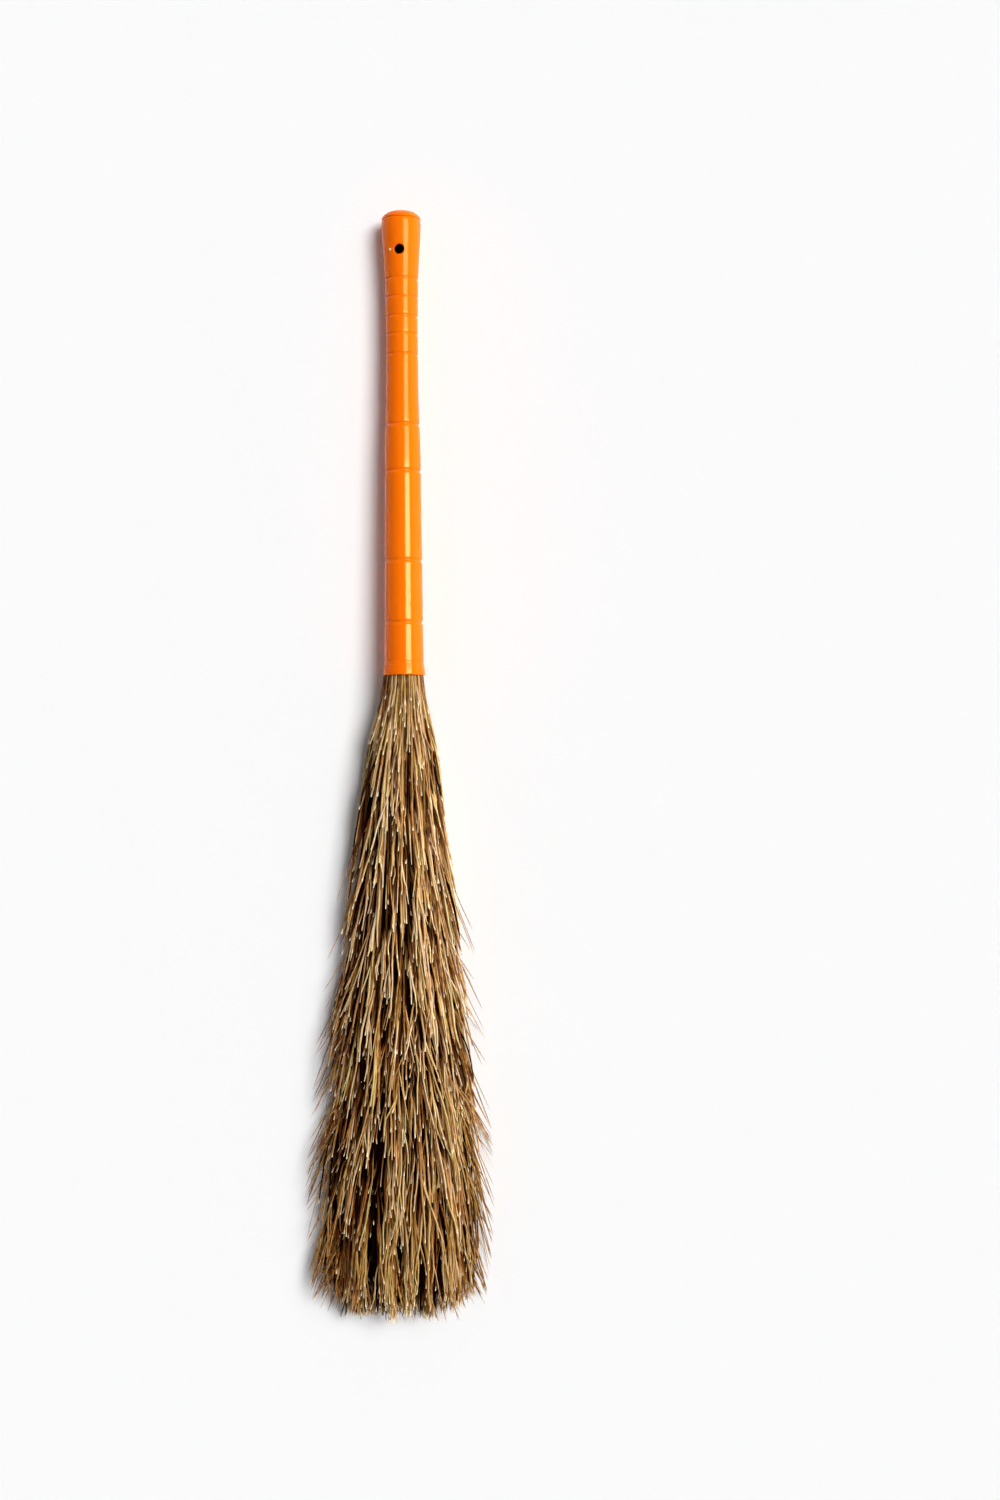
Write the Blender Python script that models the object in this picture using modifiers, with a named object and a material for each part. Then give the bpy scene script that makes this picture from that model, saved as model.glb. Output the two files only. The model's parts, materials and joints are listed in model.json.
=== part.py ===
"""Straw broom: stiff straw stems, tied in layers with wire and pushed into a moulded plastic handle.

The broom is built upright about the Z axis, with the mouth of the handle at z = 0, the handle above it
and the stems below it. The front of the upright broom faces -Y. A parent empty then lays the broom down
on its back: the handle points to +Y, the front looks up, and the floor is z = 0. Lengths are in metres.
"""

import math
import random

import bmesh
import bpy
from mathutils import Vector

# The gap that two pieces keep where the real ones touch, and how far a cutter runs past what it cuts
CLEARANCE = 0.0003
OVERRUN = 0.01
MERGE_DISTANCE = 0.00001

# The handle, measured from its mouth to the crown of its end plug
HANDLE_LENGTH = 0.417
BODY_RADIUS = 0.0174
HANDLE_WALL = 0.0024
RIM_RADIUS = 0.0189
RIM_LENGTH = 0.012
RIM_WALL = 0.0018
RIM_STEP_SHARE = 0.8
HANDLE_SEGMENTS = 32

# The outside of the tube above its rim, as shares of its length and of the body radius
OUTLINE_SHARES = (
    (0.03, 1.012),
    (0.075, 1.0),
    (0.16, 0.983),
    (0.29, 0.96),
    (0.38, 0.937),
    (0.465, 0.93),
    (0.51, 0.908),
    (0.555, 0.88),
    (0.60, 0.845),
    (0.65, 0.836),
    (0.75, 0.822),
    (0.82, 0.845),
    (0.865, 0.865),
    (0.905, 0.908),
    (0.93, 0.943),
    (0.955, 0.98),
    (0.98, 1.006),
    (1.0, 1.0),
)

# Moulded rings round the tube: wide ones along the body, close ones where the hand grips
BODY_RING_SHARES = (0.115, 0.250, 0.446, 0.548)
BODY_RING_WIDTH = 0.0074
BODY_RING_DEPTH = 0.0012
GRIP_RING_SHARES = (0.702, 0.746, 0.786, 0.828, 0.868)
GRIP_RING_WIDTH = 0.0052
GRIP_RING_DEPTH = 0.0008
RING_STATION_SHARES = (-0.5, -0.25, 0, 0.25, 0.5)

# The hanging hole goes through both walls, and is turned a little to one side
HOLE_RADIUS = 0.0045
HOLE_DROP = 0.0371
HOLE_ROLL = math.radians(-4.5)
HOLE_SEGMENTS = 20

# The plug that closes the flared end: a rounded, flat-topped crown on a hollow skirt
CROWN_HEIGHT = 0.0078
CROWN_FLAT_SHARE = 0.3
CROWN_ARC_STEPS = 5
SKIRT_LENGTH = 0.012
PLUG_WALL = 0.0018

# The packed butts of the stems inside the tube
BUTT_DEPTH = 0.110
BUTT_INSET = 0.0015
BUTT_STEP = math.radians(15)

# The peg driven into the middle of the butts, head level with their top, and how far up its taper ends
PEG_INSET = 0.020
PEG_HEAD_RADIUS = 0.0034
PEG_POINT_RADIUS = 0.0017
PEG_SEGMENTS = 12

# Wire ties, each wound round one layer of stems
TIE_WIRE_RADIUS = 0.0006
TIE_TURNS = 2
TIE_PITCH = 0.0017
TIE_POINTS = 24

# The stems outside the tube
STEM_LENGTH = 0.583
STEM_ROOT_RADIUS = 0.00048
STEM_NECK_RADIUS = 0.00070
STEM_RADIUS = 0.00102
FLOOR_CUT = 0.0005

# How the broom lies: the height of its axis at the mouth, and the bundle's size below it. Use has bent the
# stems to one side, and each shift is how far the bundle's middle lies from the handle's axis.
MOUTH_HEIGHT = 0.028
NECK_DROP = 0.065
NECK_HALF_WIDTH = 0.0350
NECK_HALF_HEIGHT = 0.0220
NECK_CENTRE_HEIGHT = 0.0262
NECK_SHIFT = 0.0027
BELLY_DROP = 0.230
BELLY_HALF_WIDTH = 0.0550
BELLY_TOP_HEIGHT = 0.0590
BELLY_SHIFT = 0.0050
END_HALF_WIDTH = 0.0930
END_TOP_HEIGHT = 0.0640
END_SHIFT = 0.0095

# The layers of hanks, from the middle out. A layer's reach is a share of the way from the peg to the
# tube, its turn a share of one hank, its tie's place a share of the butts' depth, and its shortest stem
# a share of the full length. Each row of a hank has its own number of stems.
LAYERS = (
    {"name": "core_stems", "hanks": 4, "rows": (3, 6), "reach_shares": (0, 0.36), "turn_share": 0.35,
     "tie": "core_tie", "tie_share": 0.78, "shortest_share": 0.88},
    {"name": "middle_stems", "hanks": 8, "rows": (3, 4, 5), "reach_shares": (0.36, 0.68), "turn_share": 0.2,
     "tie": "middle_tie", "tie_share": 0.56, "shortest_share": 0.66},
    {"name": "outer_stems", "hanks": 12, "rows": (4, 5, 6), "reach_shares": (0.68, 1), "turn_share": 0.5,
     "tie": "outer_tie", "tie_share": 0.32, "shortest_share": 0.36},
)

# How the stems part: how close the hanks draw together, and how uneven the stems are
GATHER_NECK_SHARE = 0.98
GATHER_BELLY_SHARE = 0.98
GATHER_END_SHARE = 0.88
EDGE_SHORTER_SHARE = 0.10
SPREAD_TIP_SHARE = 0.10
SHIFT_SHARE = 0.05
STEM_SEED = 7

# Finishes
ORANGE = (0.90, 0.185, 0.006, 1.0)
STRAW = (0.40, 0.23, 0.085, 1.0)
WIRE_GREY = (0.55, 0.55, 0.54, 1.0)
PALE_WOOD = (0.56, 0.38, 0.20, 1.0)


def clear_scene():
    """Removes every object, so that only the broom is left."""
    for obj in list(bpy.data.objects):
        bpy.data.objects.remove(obj, do_unlink=True)


def new_collection(name):
    """A collection linked to the scene."""
    collection = bpy.data.collections.new(name)
    bpy.context.scene.collection.children.link(collection)
    return collection


def new_material(name, colour, roughness, metallic=0.0):
    """A Principled BSDF of one colour."""
    material = bpy.data.materials.new(name)
    material.use_nodes = True
    shader = material.node_tree.nodes["Principled BSDF"]
    shader.inputs["Base Color"].default_value = colour
    shader.inputs["Roughness"].default_value = roughness
    shader.inputs["Metallic"].default_value = metallic
    material.diffuse_color = colour
    return material


def add_object(name, data, material, parent, collection):
    """Names a mesh or curve, gives it its material and hangs it on its parent."""
    obj = bpy.data.objects.new(name, data)
    collection.objects.link(obj)
    if material is not None:
        data.materials.append(material)
    obj.parent = parent
    return obj


def add_cutter(name, data, parent, collection):
    """A helper shape that is left out of the model."""
    cutter = add_object(name, data, None, parent, collection)
    cutter.hide_render = True
    cutter.display_type = "WIRE"
    return cutter


def combine(obj, other, operation):
    """Cuts another shape out of an object, or joins it on."""
    boolean = obj.modifiers.new(operation.title(), "BOOLEAN")
    boolean.operation = operation
    boolean.object = other


def mesh_from(bm, name):
    """Turns a finished bmesh into a mesh with its faces pointing out."""
    bmesh.ops.remove_doubles(bm, verts=bm.verts, dist=MERGE_DISTANCE)
    bmesh.ops.recalc_face_normals(bm, faces=bm.faces)
    mesh = bpy.data.meshes.new(name)
    bm.to_mesh(mesh)
    bm.free()
    return mesh


def between(table, place):
    """Reads a table of (place, value) by straight lines between its rows."""
    for (low, first), (high, second) in zip(table, table[1:]):
        if place <= high:
            share = (place - low) / (high - low)
            return first + share * (second - first)
    return table[-1][1]


def tube_length():
    """The tube without the crown of its plug."""
    return HANDLE_LENGTH - CROWN_HEIGHT


def body_radius(height):
    """The tube's outside without its rings."""
    return BODY_RADIUS * between(OUTLINE_SHARES, height / tube_length())


def bore_radius(height):
    """The tube's inside, which opens towards the mouth."""
    if height >= RIM_LENGTH:
        return body_radius(height) - HANDLE_WALL
    rim = ((0, RIM_RADIUS - RIM_WALL), (RIM_LENGTH, body_radius(RIM_LENGTH) - HANDLE_WALL))
    return between(rim, height)


def moulded_rings():
    """The middle, width and depth of every ring, from the mouth up."""
    body = [(share * tube_length(), BODY_RING_WIDTH, BODY_RING_DEPTH) for share in BODY_RING_SHARES]
    grip = [(share * tube_length(), GRIP_RING_WIDTH, GRIP_RING_DEPTH) for share in GRIP_RING_SHARES]
    return body + grip


def ring_dip(distance, width, depth):
    """How deep a moulded ring is at a distance from its middle."""
    if abs(distance) >= width / 2:
        return 0.0
    return depth * (1 + math.cos(2 * math.pi * distance / width)) / 2


def outer_radius(height):
    """The tube's outside with its rings."""
    dips = [ring_dip(height - middle, width, depth) for middle, width, depth in moulded_rings()]
    return body_radius(height) - max(dips)


def turned(name, profile, segments, closed, material, parent, collection):
    """Turns a profile of (radius, height) points about the Z axis with a Screw modifier."""
    mesh = bpy.data.meshes.new(name)
    edges = [(i, i + 1) for i in range(len(profile) - 1)]
    if closed:
        edges.append((len(profile) - 1, 0))
    mesh.from_pydata([(radius, 0, height) for radius, height in profile], edges, [])
    obj = add_object(name, mesh, material, parent, collection)
    screw = obj.modifiers.new("Turn", "SCREW")
    screw.steps = segments
    screw.render_steps = segments
    screw.use_merge_vertices = True
    screw.merge_threshold = MERGE_DISTANCE
    screw.use_smooth_shade = True
    return obj


def tube_profile():
    """The tube's section: down the outside, round the rim at the mouth, and back up the bore."""
    outline = [share * tube_length() for share, _ in OUTLINE_SHARES]
    outline = [height for height in outline if height > RIM_LENGTH + RIM_WALL]
    rings = [
        middle + share * width
        for middle, width, _ in moulded_rings()
        for share in RING_STATION_SHARES
    ]
    outside = [(outer_radius(h), h) for h in sorted(outline + rings, reverse=True)]
    rim = [
        (body_radius(RIM_LENGTH), RIM_LENGTH),
        (RIM_RADIUS - RIM_WALL / 3, RIM_LENGTH * RIM_STEP_SHARE),
        (RIM_RADIUS, RIM_WALL),
        (RIM_RADIUS - RIM_WALL / 3, 0),
        (RIM_RADIUS - RIM_WALL, 0),
    ]
    bore = [(bore_radius(h), h) for h in [RIM_LENGTH] + outline]
    return outside + rim + bore


def hanging_hole(parent, collection):
    """A rod through both walls of the flared end."""
    bm = bmesh.new()
    bmesh.ops.create_cone(
        bm,
        cap_ends=True,
        segments=HOLE_SEGMENTS,
        radius1=HOLE_RADIUS,
        radius2=HOLE_RADIUS,
        depth=2 * (RIM_RADIUS + OVERRUN),
    )
    rod = add_cutter("hanging_hole", mesh_from(bm, "hanging_hole"), parent, collection)
    rod.location = (0, 0, HANDLE_LENGTH - HOLE_DROP)
    rod.rotation_euler = (math.pi / 2, 0, HOLE_ROLL)
    return rod


def build_handle_tube(material, parent, collection, cutters):
    """The moulded tube with its rings, its rim and its hanging hole."""
    tube = turned("handle_tube", tube_profile(), HANDLE_SEGMENTS, True, material, parent, collection)
    combine(tube, hanging_hole(parent, cutters), "DIFFERENCE")


def build_end_plug(material, parent, collection):
    """The plug: crown with a rounded shoulder, seat on the tube's end, and hollow skirt in the bore."""
    seat = tube_length() + CLEARANCE
    crown_radius = outer_radius(tube_length())
    flat_radius = CROWN_FLAT_SHARE * crown_radius
    shoulder = []
    for step in range(CROWN_ARC_STEPS + 1):
        angle = math.pi / 2 * step / CROWN_ARC_STEPS
        radius = flat_radius + (crown_radius - flat_radius) * math.sin(angle)
        shoulder.append((radius, seat + (HANDLE_LENGTH - seat) * math.cos(angle)))
    skirt_radius = bore_radius(tube_length()) - CLEARANCE
    skirt_end = tube_length() - SKIRT_LENGTH
    skirt = [
        (skirt_radius, seat),
        (skirt_radius, skirt_end),
        (skirt_radius - PLUG_WALL, skirt_end),
        (skirt_radius - PLUG_WALL, HANDLE_LENGTH - PLUG_WALL),
        (0, HANDLE_LENGTH - PLUG_WALL),
    ]
    profile = [(0, HANDLE_LENGTH)] + shoulder + skirt
    turned("end_plug", profile, HANDLE_SEGMENTS, False, material, parent, collection)


def peg_radius(height):
    """The peg's radius, thickest at its head."""
    taper = ((PEG_INSET, PEG_POINT_RADIUS), (BUTT_DEPTH, PEG_HEAD_RADIUS))
    return between(taper, max(height, PEG_INSET))


def build_peg(material, parent, collection):
    """The tapered peg in the middle of the butts."""
    profile = [
        (0, BUTT_DEPTH),
        (PEG_HEAD_RADIUS, BUTT_DEPTH),
        (PEG_POINT_RADIUS, PEG_INSET),
        (0, PEG_INSET - PEG_POINT_RADIUS),
    ]
    turned("wedge_peg", profile, PEG_SEGMENTS, False, material, parent, collection)


def butt_radius(height):
    """The outside of all the packed butts."""
    return bore_radius(height) - CLEARANCE


def layer_inside(layer, height):
    """The inside of a layer's butts at a height."""
    reach = layer["reach_shares"][0]
    peg = peg_radius(height)
    spare = CLEARANCE / 2 if reach else CLEARANCE
    return peg + reach * (butt_radius(height) - peg) + spare


def layer_outside(layer, height):
    """The outside of a layer's butts at a height, where no tie draws them in."""
    reach = layer["reach_shares"][1]
    peg = peg_radius(height)
    spare = CLEARANCE / 2 if reach < 1 else 0
    return peg + reach * (butt_radius(height) - peg) - spare


def tie_span(layer):
    """The stretch of butts that a layer's tie takes up."""
    middle = layer["tie_share"] * BUTT_DEPTH
    half = TIE_TURNS * TIE_PITCH / 2 + TIE_WIRE_RADIUS + CLEARANCE
    return middle - half, middle + half


def tie_radius(layer):
    """The radius of a tie's own line, which keeps the wire flush with the outside of its layer."""
    return min(layer_outside(layer, height) for height in tie_span(layer)) - TIE_WIRE_RADIUS


def waist_radius(layer):
    """The outside of the butts under a tie, clear of the straight runs between the wire's points."""
    return tie_radius(layer) * math.cos(math.pi / TIE_POINTS) - TIE_WIRE_RADIUS - CLEARANCE


def butt_profile(layer):
    """The section of one hank's butts as (radius, height) points, up the outside and down the inside."""
    low, high = tie_span(layer)
    outside = [(layer_outside(layer, h), h) for h in (BUTT_INSET, RIM_LENGTH, low)]
    outside += [(waist_radius(layer), low), (waist_radius(layer), high)]
    outside += [(layer_outside(layer, h), h) for h in (high, BUTT_DEPTH)]
    stations = [BUTT_DEPTH, RIM_LENGTH, BUTT_INSET]
    if not layer["reach_shares"][0]:
        stations.insert(1, PEG_INSET)
    return outside + [(layer_inside(layer, h), h) for h in stations]


def hank_angles(layer, index):
    """The first and last angle of a hank's sector, with half a gap kept at each side."""
    least_radius = min(layer_inside(layer, height) for height in (BUTT_INSET, BUTT_DEPTH))
    half_gap = CLEARANCE / 2 / least_radius
    sector = 2 * math.pi / layer["hanks"]
    start = (index + layer["turn_share"]) * sector
    return start + half_gap, start + sector - half_gap


def butt_mesh(layer, index):
    """The packed butts of one hank: the layer's section spun through the hank's sector."""
    start, end = hank_angles(layer, index)
    bm = bmesh.new()
    corners = [
        bm.verts.new((radius * math.cos(start), radius * math.sin(start), height))
        for radius, height in butt_profile(layer)
    ]
    face = bm.faces.new(corners)
    bmesh.ops.spin(
        bm,
        geom=[face] + list(face.edges) + corners,
        axis=(0, 0, 1),
        cent=(0, 0, 0),
        angle=end - start,
        steps=math.ceil((end - start) / BUTT_STEP),
    )
    return mesh_from(bm, "butts")


def lie_angle():
    """How far the handle dips towards its end, so that the tube's flared end touches the floor."""
    end_radius = outer_radius(tube_length())
    reach = math.hypot(end_radius, tube_length())
    return math.atan2(tube_length(), end_radius) - math.acos(MOUTH_HEIGHT / reach)


def depth_at(drop, floor_height):
    """The upright broom's y for a place so far below the mouth and so high above the floor."""
    angle = lie_angle()
    return (MOUTH_HEIGHT + drop * math.sin(angle) - floor_height) / math.cos(angle)


def neck_point(across, up):
    """A place in the bundle's rounded section just below the mouth."""
    height = NECK_CENTRE_HEIGHT + up * NECK_HALF_HEIGHT
    return Vector((across * NECK_HALF_WIDTH - NECK_SHIFT, depth_at(NECK_DROP, height), -NECK_DROP))


def resting_point(across, up, drop, half_width, top_height, shift):
    """A place in the bundle's section where it rests: a rounded top over a flattened underside."""
    lowest = STEM_RADIUS - FLOOR_CUT
    half_height = (top_height - lowest) / 2
    if up < 0:
        up = up / math.sqrt(1 - across**2) * (1 - across**4) ** 0.25
    height = lowest + half_height * (1 + up)
    return Vector((across * half_width - shift, depth_at(drop, height), -drop))


def gathered(share, place, centre):
    """Draws a place towards the middle of its hank."""
    return [middle + share * (part - middle) for part, middle in zip(place, centre)]


def disc(radius, angle):
    """Where a stem sits in the round bundle, in shares of its radius: across and up."""
    return radius * math.cos(angle), -radius * math.sin(angle)


def stem_places(layer, index, numbers):
    """The radius, angle and row of each stem of a hank, in slightly uneven rows from the inside out."""
    start, end = hank_angles(layer, index)
    inside = layer_inside(layer, BUTT_INSET)
    outside = layer_outside(layer, BUTT_INSET)
    for row, stems in enumerate(layer["rows"]):
        for stem in range(stems):
            outwards = row + 0.5 + numbers.uniform(-SHIFT_SHARE, SHIFT_SHARE)
            sideways = stem + 0.5 + numbers.uniform(-SHIFT_SHARE, SHIFT_SHARE)
            radius = inside + (outside - inside) * outwards / len(layer["rows"])
            yield radius, start + (end - start) * sideways / stems, row


def stem_path(radius, angle, centre, length, spread):
    """The points of one stem, with its radius at each, from inside the butts to its tip."""
    place = disc(radius / butt_radius(BUTT_INSET), angle)
    root_height = BUTT_INSET + STEM_NECK_RADIUS
    root = Vector((radius * math.cos(angle), radius * math.sin(angle), root_height))
    neck = neck_point(*gathered(GATHER_NECK_SHARE, place, centre))
    belly_place = gathered(GATHER_BELLY_SHARE, place, centre)
    belly = resting_point(*belly_place, BELLY_DROP, BELLY_HALF_WIDTH, BELLY_TOP_HEIGHT, BELLY_SHIFT)
    end_place = gathered(GATHER_END_SHARE, place, centre)
    end = resting_point(*end_place, STEM_LENGTH, END_HALF_WIDTH, END_TOP_HEIGHT, END_SHIFT)
    end.x += spread * end_place[0] * END_HALF_WIDTH
    path = [(root, STEM_ROOT_RADIUS), (neck, STEM_NECK_RADIUS)]
    if length > BELLY_DROP:
        path.append((belly, STEM_RADIUS))
        tip = belly.lerp(end, (length - BELLY_DROP) / (STEM_LENGTH - BELLY_DROP))
    else:
        tip = neck.lerp(belly, (length - NECK_DROP) / (BELLY_DROP - NECK_DROP))
    return path + [(tip, 0)]


def hank_paths(layer, index, numbers):
    """The paths of a hank's stems. Those at the bundle's sides are shorter, and the outermost splay."""
    places = list(stem_places(layer, index, numbers))
    start, end = hank_angles(layer, index)
    middle_radius = sum(radius for radius, _, _ in places) / len(places) / butt_radius(BUTT_INSET)
    centre = disc(middle_radius, (start + end) / 2)
    last_row = len(layer["rows"]) - 1
    paths = []
    for radius, angle, row in places:
        across, _ = disc(radius / butt_radius(BUTT_INSET), angle)
        longest = STEM_LENGTH * (1 - EDGE_SHORTER_SHARE * across**4)
        length = longest * numbers.triangular(layer["shortest_share"], 1, 1)
        splays = layer["reach_shares"][1] == 1 and row == last_row
        spread = numbers.uniform(0, SPREAD_TIP_SHARE) if splays else 0
        paths.append(stem_path(radius, angle, centre, length, spread))
    return paths


def stem_section(collection):
    """The three-sided section that every stem is swept from, with corners at a radius of 1."""
    curve = bpy.data.curves.new("stem_section", "CURVE")
    curve.dimensions = "2D"
    spline = curve.splines.new("POLY")
    spline.points.add(2)
    for corner, point in enumerate(spline.points):
        angle = 2 * math.pi * corner / 3
        point.co = (math.cos(angle), math.sin(angle), 0, 1)
    spline.use_cyclic_u = True
    return add_cutter("stem_section", curve, None, collection)


def stems_mesh(paths, section):
    """All the stems of a hank, swept along their paths and made a mesh with welded ends."""
    curve = bpy.data.curves.new("stems", "CURVE")
    curve.dimensions = "3D"
    curve.bevel_mode = "OBJECT"
    curve.bevel_object = section
    curve.use_fill_caps = True
    for path in paths:
        spline = curve.splines.new("POLY")
        spline.points.add(len(path) - 1)
        for point, (place, radius) in zip(spline.points, path):
            point.co = (*place, 1)
            point.radius = radius
    sweep = bpy.data.objects.new("stems", curve)
    bpy.context.scene.collection.objects.link(sweep)
    graph = bpy.context.evaluated_depsgraph_get()
    swept = bpy.data.meshes.new_from_object(sweep.evaluated_get(graph))
    bpy.data.objects.remove(sweep)
    bm = bmesh.new()
    bm.from_mesh(swept)
    return mesh_from(bm, "stems")


def rests(path):
    """Whether a stem lies low enough for the floor to flatten it."""
    return any(place.y > depth_at(-place.z, STEM_RADIUS) for place, _ in path[2:])


def build_hank(name, butts, paths, section, floor, material, parent, collections):
    """One hank: its packed butts, with its stems joined on and its underside cut to the floor."""
    parts, cutters = collections
    hank = add_object(name, butts, material, parent, parts)
    stems = add_cutter(name + "_loose", stems_mesh(paths, section), parent, cutters)
    combine(hank, stems, "UNION")
    if any(rests(path) for path in paths):
        combine(hank, floor, "DIFFERENCE")


def floor_slab(collection):
    """A slab whose top is the floor."""
    bm = bmesh.new()
    bmesh.ops.create_cube(bm, size=1)
    bmesh.ops.scale(bm, vec=(4 * END_HALF_WIDTH, 4 * STEM_LENGTH, OVERRUN), verts=bm.verts)
    bmesh.ops.translate(bm, vec=(0, 0, -OVERRUN / 2), verts=bm.verts)
    return add_cutter("floor_slab", mesh_from(bm, "floor_slab"), None, collection)


def build_tie(layer, material, parent, collection):
    """A layer's wire tie: a few close turns on its waist."""
    middle = layer["tie_share"] * BUTT_DEPTH
    radius = tie_radius(layer)
    turns = [number / TIE_POINTS for number in range(TIE_TURNS * TIE_POINTS + 1)]
    line = [
        Vector((
            radius * math.cos(2 * math.pi * turn),
            radius * math.sin(2 * math.pi * turn),
            middle + TIE_PITCH * (turn - TIE_TURNS / 2),
        ))
        for turn in turns
    ]
    curve = bpy.data.curves.new(layer["tie"], "CURVE")
    curve.dimensions = "3D"
    curve.bevel_depth = TIE_WIRE_RADIUS
    curve.bevel_resolution = 1
    curve.use_fill_caps = True
    spline = curve.splines.new("POLY")
    spline.points.add(len(line) - 1)
    for point, place in zip(spline.points, line):
        point.co = (*place, 1)
    gap = min((a - b).length for a, b in zip(line, line[TIE_POINTS:])) - 2 * TIE_WIRE_RADIUS
    print(f"{layer['tie']}: least gap between turns {gap:.5f} m")
    add_object(layer["tie"], curve, material, parent, collection)


def lay_down():
    """The empty that lays the broom on its back, handle towards +Y and the middle of its footprint at 0."""
    empty = bpy.data.objects.new("laid_down", None)
    bpy.context.scene.collection.objects.link(empty)
    mouth_y = (STEM_LENGTH - HANDLE_LENGTH) / 2 * math.cos(lie_angle())
    empty.location = (END_SHIFT, mouth_y, MOUTH_HEIGHT)
    empty.rotation_euler = (-math.pi / 2 - lie_angle(), 0, 0)
    return empty


def report_places(empty):
    """Prints where the broom's own axis lies on the floor."""
    bpy.context.view_layer.update()
    heights = {"mouth": 0, "crown": HANDLE_LENGTH, "hanging hole": HANDLE_LENGTH - HOLE_DROP}
    for name, height in heights.items():
        place = empty.matrix_world @ Vector((0, 0, height))
        print(f"{name}: {place.x:.5f} {place.y:.5f} {place.z:.5f} m")
    print(f"handle dips by {math.degrees(lie_angle()):.3f} degrees")


def main():
    clear_scene()
    broom = new_collection("straw_broom")
    cutters = new_collection("cutters")
    orange = new_material("handle_plastic", ORANGE, 0.28)
    straw = new_material("straw", STRAW, 0.62)
    steel = new_material("tie_wire", WIRE_GREY, 0.35, 1.0)
    wood = new_material("peg_wood", PALE_WOOD, 0.7)

    root = lay_down()
    build_handle_tube(orange, root, broom, cutters)
    build_end_plug(orange, root, broom)
    build_peg(wood, root, broom)
    section = stem_section(cutters)
    floor = floor_slab(cutters)
    numbers = random.Random(STEM_SEED)
    for layer in LAYERS:
        build_tie(layer, steel, root, broom)
        for index in range(layer["hanks"]):
            name = f"{layer['name']}_{index + 1:02d}"
            butts = butt_mesh(layer, index)
            paths = hank_paths(layer, index, numbers)
            build_hank(name, butts, paths, section, floor, straw, root, (broom, cutters))
    report_places(root)


main()
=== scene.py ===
# %% [markdown]
# # A straw broom lying on a white floor
# The broom has two very different halves. The handle is one moulded tube, so it is a turned shape with a
# glossy finish. The straw is thousands of thin strands of four kinds, so one straw of each kind is modelled
# and then laid along thousands of courses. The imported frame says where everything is, and nothing moves it.

# %% Load the frame
import json
import math

import bpy
import numpy as np
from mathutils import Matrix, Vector


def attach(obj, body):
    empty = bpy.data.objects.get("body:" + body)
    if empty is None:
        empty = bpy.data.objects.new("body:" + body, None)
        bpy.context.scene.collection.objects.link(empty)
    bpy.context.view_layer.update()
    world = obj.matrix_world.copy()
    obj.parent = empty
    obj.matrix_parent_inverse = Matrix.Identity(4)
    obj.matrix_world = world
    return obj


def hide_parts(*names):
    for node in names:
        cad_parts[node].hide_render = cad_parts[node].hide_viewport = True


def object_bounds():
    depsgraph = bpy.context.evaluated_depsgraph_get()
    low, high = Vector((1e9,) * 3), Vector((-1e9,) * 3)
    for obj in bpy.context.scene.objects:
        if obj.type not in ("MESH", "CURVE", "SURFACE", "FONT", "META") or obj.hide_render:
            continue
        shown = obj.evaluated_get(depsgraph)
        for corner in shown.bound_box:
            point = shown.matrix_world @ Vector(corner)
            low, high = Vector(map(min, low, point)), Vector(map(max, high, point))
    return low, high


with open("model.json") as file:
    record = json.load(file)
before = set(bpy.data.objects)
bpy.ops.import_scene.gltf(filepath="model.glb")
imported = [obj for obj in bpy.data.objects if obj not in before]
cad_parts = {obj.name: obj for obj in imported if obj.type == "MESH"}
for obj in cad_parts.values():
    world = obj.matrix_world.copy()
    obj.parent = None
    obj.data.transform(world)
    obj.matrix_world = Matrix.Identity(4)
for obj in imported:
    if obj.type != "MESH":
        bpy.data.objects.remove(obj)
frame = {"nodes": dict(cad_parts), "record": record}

FRAME_BOX = [[float(value) for value in corner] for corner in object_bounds()]
print("frame box:", FRAME_BOX)

# %% [markdown]
# The frame's one mount sits on the crown of the handle and points along it. The handle's length is known,
# so the mouth, where the straw comes out, lies that far back along the same line.

# %% Where the handle and the straw lie
HANDLE_LENGTH = 0.417
CROWN_HEIGHT = 0.0078
crown_mount = frame["record"]["mounts"][0]
crown_place = Vector(crown_mount["pos_m"])
handle_line = Vector(crown_mount["axis"]).normalized()
mouth_place = crown_place - HANDLE_LENGTH * handle_line
TUBE_LENGTH = HANDLE_LENGTH - CROWN_HEIGHT
STRAW_LENGTH = mouth_place.y - FRAME_BOX[0][1]
dip_angle = math.asin(-handle_line.z)
print(f"mouth at {tuple(round(value, 4) for value in mouth_place)}, straw {STRAW_LENGTH:.3f} m")
print(f"the handle dips {math.degrees(dip_angle):.2f} degrees")

# %% [markdown]
# An operator acts on whatever is selected, so each new piece starts by deselecting everything. Later cells
# also need to choose one piece, pick vertices by where they are, and read smooth curves from a few rows of
# numbers.

# %% Small helpers for modelling
def start_afresh():
    """Leaves edit mode and deselects everything."""
    if bpy.context.object and bpy.context.object.mode != "OBJECT":
        bpy.ops.object.mode_set(mode="OBJECT")
    bpy.ops.object.select_all(action="DESELECT")


def choose(piece):
    """Selects one piece alone and makes it the active one."""
    start_afresh()
    piece.select_set(True)
    bpy.context.view_layer.objects.active = piece


def pick_vertices(piece, wanted):
    """In edit mode, selects the vertices whose place passes a test."""
    bpy.ops.object.mode_set(mode="OBJECT")
    mesh = piece.data
    mesh.polygons.foreach_set("select", [False] * len(mesh.polygons))
    mesh.edges.foreach_set("select", [False] * len(mesh.edges))
    mesh.vertices.foreach_set("select", [wanted(vertex.co) for vertex in mesh.vertices])
    bpy.ops.object.mode_set(mode="EDIT")
    bpy.ops.mesh.select_mode(type="VERT")


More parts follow.
